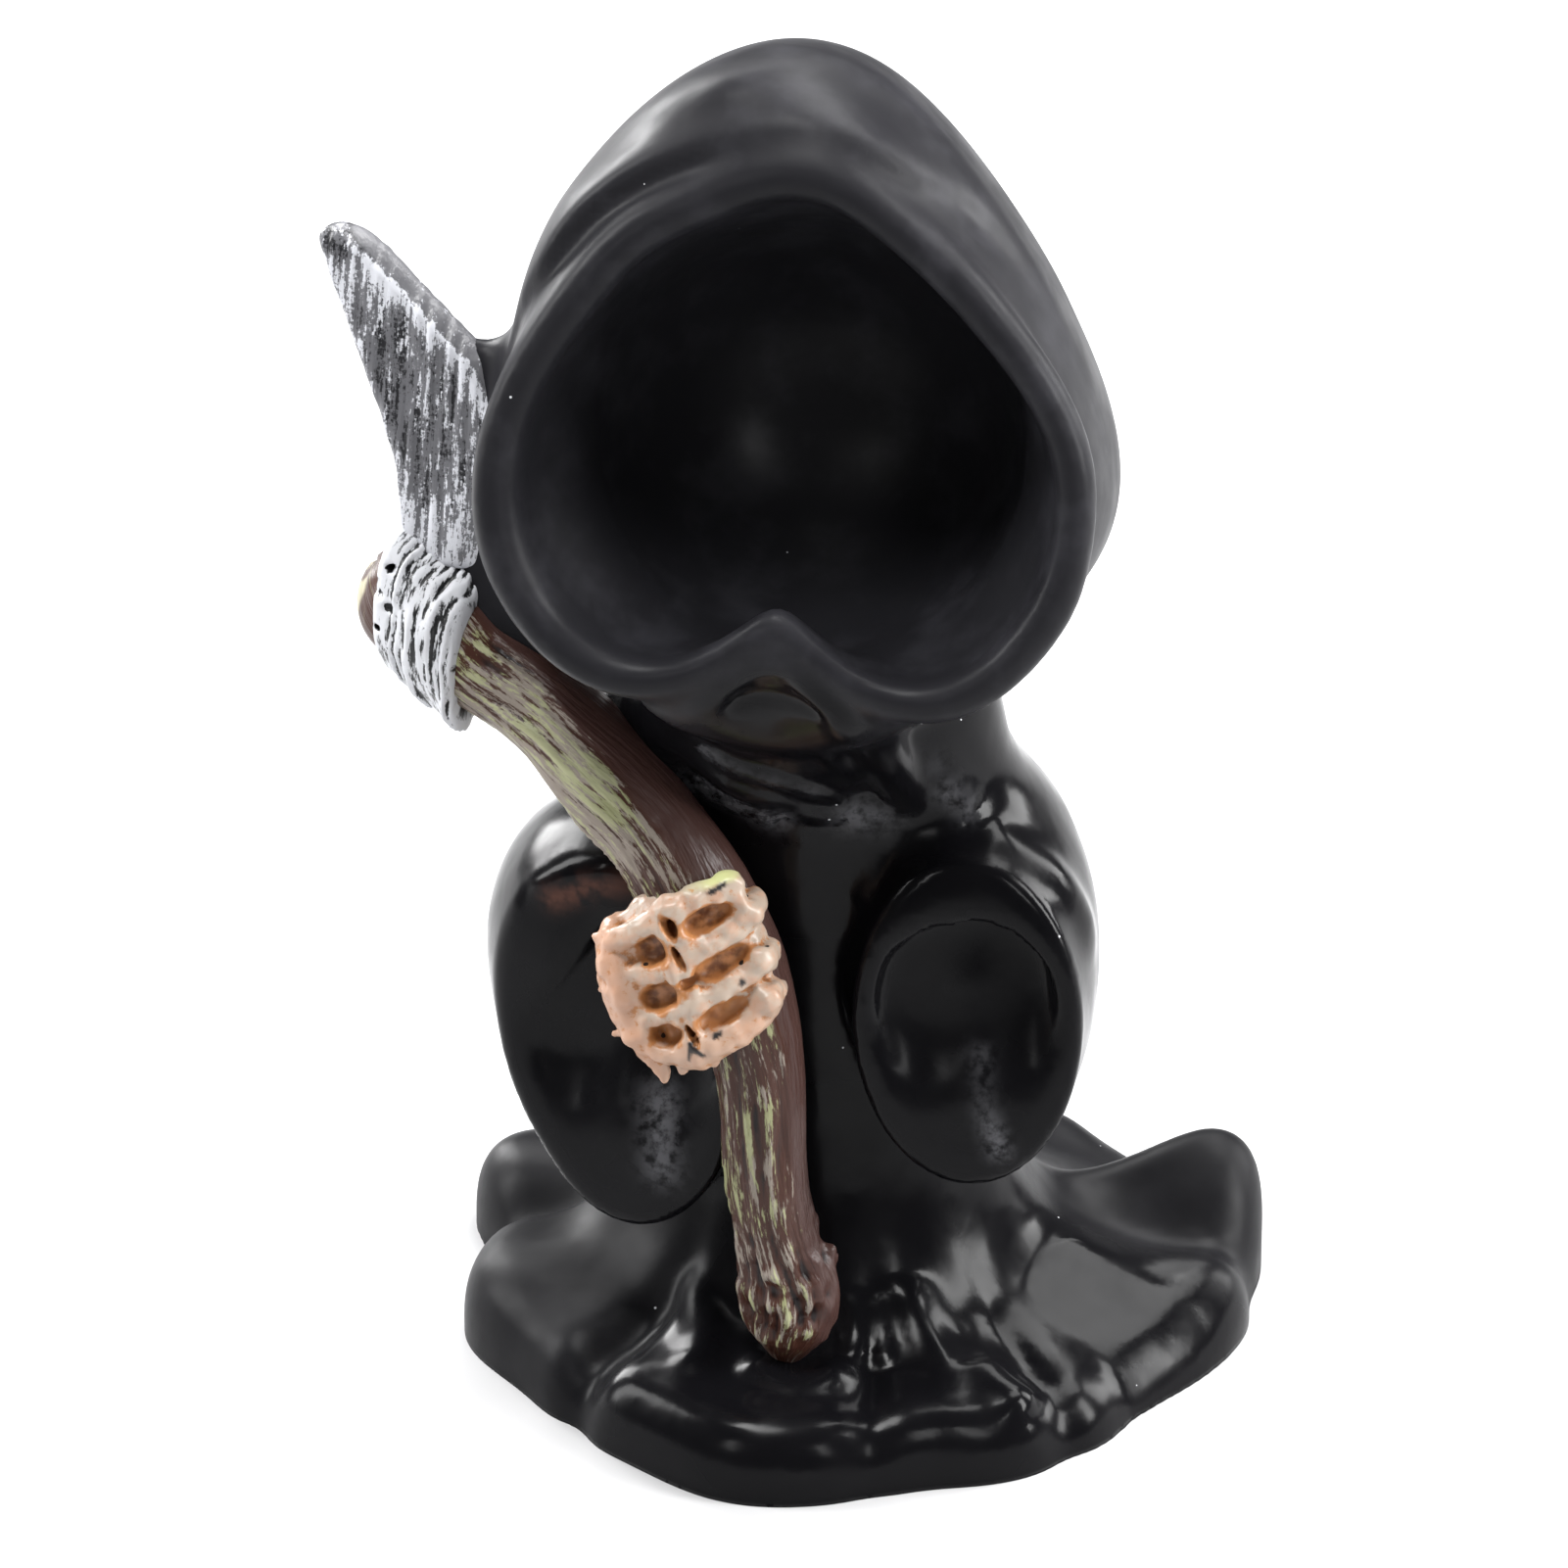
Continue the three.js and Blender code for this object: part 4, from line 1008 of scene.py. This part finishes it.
def blade_form(p):
    a, b, c = blade_place(p)
    left, right = read_rows(BLADE_ROWS, b)
    middle, half = (left + right) / 2, np.maximum((right - left) / 2, 0.3)
    across = np.abs(a - middle) - half
    bevel = 0.55 * np.clip(a - right + BEVEL + 0.6, 0, None)
    brushed = 0.35 * (noise(np.stack([a, b, c], 1), (0.6, 6, 50)) - 0.5)
    plate = smooth_max(across * 0.8, np.abs(c) - BLADE_HALF + bevel + brushed, 0.9)
    plate = smooth_max(plate, b - BLADE_TIP, 2)
    root = 1.9 + 1.6 * ((a - 2.6) / 5) ** 2
    return smooth_max(plate, (root - b) * 0.8, 0.8)


BLADE_BLACK = (0.010, 0.010, 0.012, 1)
BLADE_GREY = (0.12, 0.12, 0.13, 1)
BLADE_SILVER = (0.58, 0.59, 0.63, 1)
BEVEL_GREY = (0.13, 0.13, 0.14, 1)
paint = Paint("blade_silver", BLADE_BLACK)
grain = paint.mask("grain", "Vector")
raised = paint.mask("raised")
cover = paint.mask("cover")
rubbed = paint.span(paint.lumps(paint.place, 0.3, 3.0, 0.7), 0.3, 0.7, -0.17, 0.17)
rubbed = paint.plus(raised, rubbed)
grey_cover = paint.plus(cover, 0.35)
grey_grain = paint.moved(grain, (9, 21, 3))
grey = paint.effect(dry_brush, Grain=grey_grain, Raised=rubbed, Cover=grey_cover, Stroke=2.0)
silver = paint.effect(dry_brush, Grain=grain, Raised=rubbed, Cover=cover, Stroke=2.2)
paint.coat(BLADE_GREY, grey)
paint.coat(BEVEL_GREY, paint.mask("bevel"))
paint.coat(BLADE_SILVER, silver)
height = paint.effect(paint_skin, Place=paint.place, Waves=0.03, Wave_size=2.0, Peel=0.015)
height = paint.plus(paint.times(paint.lumps(grain, 0.5, 4.0, 0.6), 0.10), height)
paint.finish(paint.span(silver, 0.0, 1.0, 0.30, 0.42), height)

BLADE_GRID = 0.30
blade_verts, blade_faces = skin(blade_form, (-52, -24, 68), (-22, -2, 110), BLADE_GRID)
a, b, c = blade_place(blade_verts)
from_edge = a - read_rows(BLADE_ROWS, b)[1]
blade_grain = np.stack([a, b * 0.12, c], 1)
blade_raised = relief_mask(blade_verts, blade_faces, level=0.4, gain=-2.0, rounds=4)
blade_ridge = bell(from_edge + BEVEL + 0.9, 1.0) * ease(b, 12, 16)
blade_bevel = ease(from_edge, -BEVEL - 0.2, -BEVEL + 0.2) * ease(b, 13, 16)
blade_cover = 0.46 + 0.32 * blade_ridge - 0.30 * blade_bevel + 0.3 * (noise(blade_verts, 5) - 0.5)
blade_cover += 0.30 * (1 - ease(b, 3, 12)) - 0.10 * bell(b - 13, 5)
blade_cover += 0.14 * ease(b, 18, 26) - 0.5 * ease(b, 26, 29)
make_piece(
    "blade", blade_verts, blade_faces,
    {"grain": blade_grain, "raised": blade_raised, "cover": blade_cover, "bevel": blade_bevel},
    paint,
)

# Hand: a fist of bones that holds the staff, cast with it, painted cream pink, with a brown wash
# that settled in the hollows between the bones
HAND_MIDDLE = np.array([-9.3, -24.4, 46.2])
HAND_UP = np.array([-0.26, 0.1, 0.96])
HAND_FRONT = np.array([0.1, -0.95, 0])
FIST_FRONT = 6.4
BONES = [  # crest of each bone across the fist and its radius, seen from the front
    ([(-6.3, 4.2), (-3.4, 5.3), (-0.9, 6.7)], 1.15), ([(0.2, 6.7), (2.4, 7.1), (4.3, 7.3)], 1.2),
    ([(-6.4, 1.4), (-3.2, 1.2), (-1.4, 2.2)], 1.0), ([(-0.3, 2.4), (2.1, 3.1), (4.6, 3.7)], 1.15),
    ([(-6.4, -2.4), (-4.2, -2.6), (-1.9, -2.2)], 1.0), ([(-0.9, -2), (1.6, -1.3), (4.5, -0.3)], 1.15),
    ([(-6.2, -4.6), (-4, -6.1), (-2.6, -6.4)], 1.1), ([(-1.4, -6.3), (1.7, -5.5), (4.1, -4.3)], 1.4),
    ([(-1.5, 6.4), (-1.7, 2.4)], 0.75), ([(-0.1, 6.7), (0, 2.8)], 0.7),
    ([(-1.6, 2), (-1.8, -2)], 0.6), ([(-0.2, 2), (-0.6, -1.8)], 0.6),
    ([(-2.3, -2.3), (-2.5, -6.2)], 0.7), ([(-1.2, -2.2), (-1.3, -6)], 0.7),
    ([(4.6, 7.0), (4.8, 5.2)], 1.0),
]
KNUCKLES = [((5.2, 4.4), 1.4), ((5.2, 0), 1.4), ((4.9, -3.3), 1.6)]
PITS = [  # place, half sizes and depth of colour of the hollows between the bones
    ((-3.1, 3.3), (1.7, 1.45), 1.0), ((1.9, 5.2), (2.3, 1.15), 1.0), ((-3.3, -0.8), (2.2, 1.3), 1.0),
    ((2.1, 0.95), (2.7, 1.1), 1.0), ((1.3, -3.3), (2.5, 1.1), 0.62), ((-3.6, -4.3), (1.8, 1.1), 0.55),
    ((-1.0, 5.4), (0.65, 1.3), 0.9), ((-0.9, 2.6), (0.35, 1.4), 0.9), ((-0.7, 0.2), (1.1, 0.6), 0.7),
    ((-1.4, -4.4), (0.4, 1.2), 0.8),
]
CRACKS = [  # thin black gaps
    ((3.0, 7.5), (4.2, 7.8)), ((-1.7, -5.1), (-2.1, -6.3)), ((-1.6, -5.4), (-0.9, -6.3)),
    ((3.6, -1.0), (3.7, -0.7)), ((0.4, -4.9), (0.9, -4.75)),
]
PIT_LEAN = math.radians(14)
SPIKES = [  # where each jagged end starts and ends, with its radius there
    ((-6.1, -4.2, 3.6), (-5.2, -8.6, 3.6), 1.9, 0.4), ((-7.4, -4.4, 2.6), (-8.9, -4.6, 2), 0.8, 0.2),
    ((-3.3, -6, 4.4), (-3.2, -7.9, 4.2), 0.9, 0.5),
    ((-0.8, -6, 4.6), (-0.4, -7.8, 4.4), 1.1, 0.45),
    ((-7.4, 3.2, 2.4), (-8.3, 4.5, 2.4), 0.8, 0.2), ((-8.2, -0.8, 2), (-9.1, -0.5, 2), 0.6, 0.15),
    ((-7.8, -2.6, 2.2), (-8.7, -2.9, 2), 0.6, 0.15),
]


def hand_place(p):
    """Place across, up and in front of the middle of the fist."""
    up = unit(HAND_UP)
    front = square_to(up, HAND_FRONT)
    q = p - HAND_MIDDLE
    return np.stack([q @ np.cross(up, front), q @ up, q @ front], 1)


def fist_front(a):
    """How far forward the crests lie: the fist is round, like the staff in it."""
    return FIST_FRONT - 4.2 * ((a + 1) / 8.5) ** 2


def bone(q, start, end, first, last):
    start, piece = np.array(start, float), np.subtract(end, start)
    share = np.clip(((q - start) @ piece) / (piece @ piece), 0, 1)
    return np.linalg.norm(q - start - share[:, None] * piece, axis=1) - first - (last - first) * share


def pit_depth(q):
    """How deep the hollows between the bones are, 0 to 1, and how brown."""
    deepest = np.zeros(len(q))
    color = np.zeros(len(q))
    for (a, b), (wide, high), brown in PITS:
        across, up = q[:, 0] - a, q[:, 1] - b
        leaned = math.cos(PIT_LEAN) * across + math.sin(PIT_LEAN) * up
        raised = math.cos(PIT_LEAN) * up - math.sin(PIT_LEAN) * across
        depth = 1 - (leaned / wide) ** 2 - (raised / high) ** 2
        deepest = np.maximum(deepest, depth)
        color = np.maximum(color, brown * ease(depth, -0.8, 0.9))
    return deepest, color


def hand_form(p):
    q = hand_place(p)
    a, b, c = q.T
    fist = smooth_min(egg(q, (-1.2, 0.2, 1.2), (7, 7.2, 4.2)), egg(q, (-6.6, 0, 2), (2.3, 5.8, 3.3)), 0.8)
    for crest, radius in BONES:
        line = [(x, y, fist_front(x) - radius) for x, y in crest]
        fist = smooth_min(fist, along(q, line)[0] - radius - 0.15 * bell(a + 1, 1), 0.4)
    for (x, y), radius in KNUCKLES:
        front = fist_front(x) - radius * 0.6
        fist = smooth_min(fist, bone(q, (x, y, front), (x + 0.3, y, 0.4), radius, 1.0), 0.4)
    for start, end, first, last in SPIKES:
        fist = smooth_min(fist, bone(q, start, end, first, last), 0.4)
    body = smooth_max(np.abs(a + 0.6) - 5.4, np.abs(b - 0.14 * a - 0.3) - 6.2, 1.5)
    body = smooth_max(smooth_max(body, c - fist_front(a) + 1.1, 0.8), -c, 1)
    fist = smooth_min(fist, body, 0.3)
    fist = fist + 0.75 * ease(pit_depth(q)[0], -0.1, 0.8) * ease(c, 0, 2)
    fist = fist - 0.5 * (noise(q, 0.9) - 0.5)
    palm = smooth_max(np.hypot(a - 1.4, c) - 5.2, np.abs(b + 0.2) - 5.6, 0.8)
    palm = smooth_max(smooth_max(palm, a - 2.5, 0.8), c - 1.5, 0.8)
    return np.minimum(fist, palm) * 0.85


BONE_CREAM = (0.39, 0.31, 0.246, 1)
BONE_PINK = (0.435, 0.253, 0.168, 1)
WASH_BROWN = (0.36, 0.155, 0.055, 1)
WASH_DARK = (0.11, 0.035, 0.010, 1)
PIT_BLACK = (0.012, 0.010, 0.010, 1)
CAP_GREEN = (0.50, 0.52, 0.24, 1)
paint = Paint("bone_cream", BONE_CREAM)
paint.coat(BONE_PINK, paint.mask("pink"))
blush = paint.span(paint.lumps(paint.place, 1.6, 3.0, 0.6), 0.42, 0.66, 0.0, 0.7)
paint.coat(BONE_PINK, blush)
mottle = paint.span(paint.lumps(paint.place, 0.6, 5.0, 0.7), 0.25, 0.75, -0.45, 0.45)
wash = paint.plus(paint.mask("hollow"), mottle)
paint.coat(WASH_BROWN, paint.span(wash, 0.40, 0.85))
paint.coat(WASH_DARK, paint.span(wash, 0.80, 1.25, 0.0, 0.8))
stain = paint.span(paint.lumps(paint.place, 1.1, 3.0, 0.55), 0.3, 0.7, -0.22, 0.22)
stain = paint.plus(paint.mask("pit"), stain)
paint.coat(WASH_BROWN, paint.span(stain, 0.14, 0.42))
paint.coat(WASH_DARK, paint.span(stain, 0.58, 1.15))
paint.coat(CAP_GREEN, paint.mask("capped"))
black = paint.effect(specks, Place=paint.place, Spacing=2.0, Size=0.26, Share=0.35)
black = paint.work_out("MAXIMUM", black, paint.mask("gap"))
paint.coat(PIT_BLACK, black)
height = paint.effect(paint_skin, Place=paint.place, Waves=0.06, Wave_size=1.4, Peel=0.02)
paint.finish(paint.span(wash, 0.4, 0.8, 0.34, 0.5), height)

HAND_GRID = 0.25
hand_verts, hand_faces = skin(hand_form, (-24, -38, 30), (4, -18, 62), HAND_GRID)
on_fist = hand_place(hand_verts)
a, b, c = on_fist.T
in_front = ease(c, 1, 3)
hand_hollow = relief_mask(hand_verts, hand_faces, level=0.38, gain=4.0, rounds=6)
hand_hollow = np.maximum(hand_hollow, 0.75 * (1 - ease(c, -0.5, 1.5)))
hand_pit = pit_depth(on_fist)[1] * in_front * 0.9
hand_pink = np.clip(ease(-a, 4.5, 7) + ease(-b, 2, 6) * 0.6, 0, 1)
gaps = np.min([bone(on_fist[:, :2], start, end, 0.22, 0.14) for start, end in CRACKS], axis=0)
hand_gap = (1 - ease(gaps, -0.02, 0.12)) * in_front
hand_cap = bell(a - 3.9, 2.2) * ease(b, 7.6, 8.2)
make_piece(
    "skeleton_hand", hand_verts, hand_faces,
    {"hollow": hand_hollow, "pit": hand_pit, "pink": hand_pink, "gap": hand_gap, "capped": hand_cap},
    paint,
)
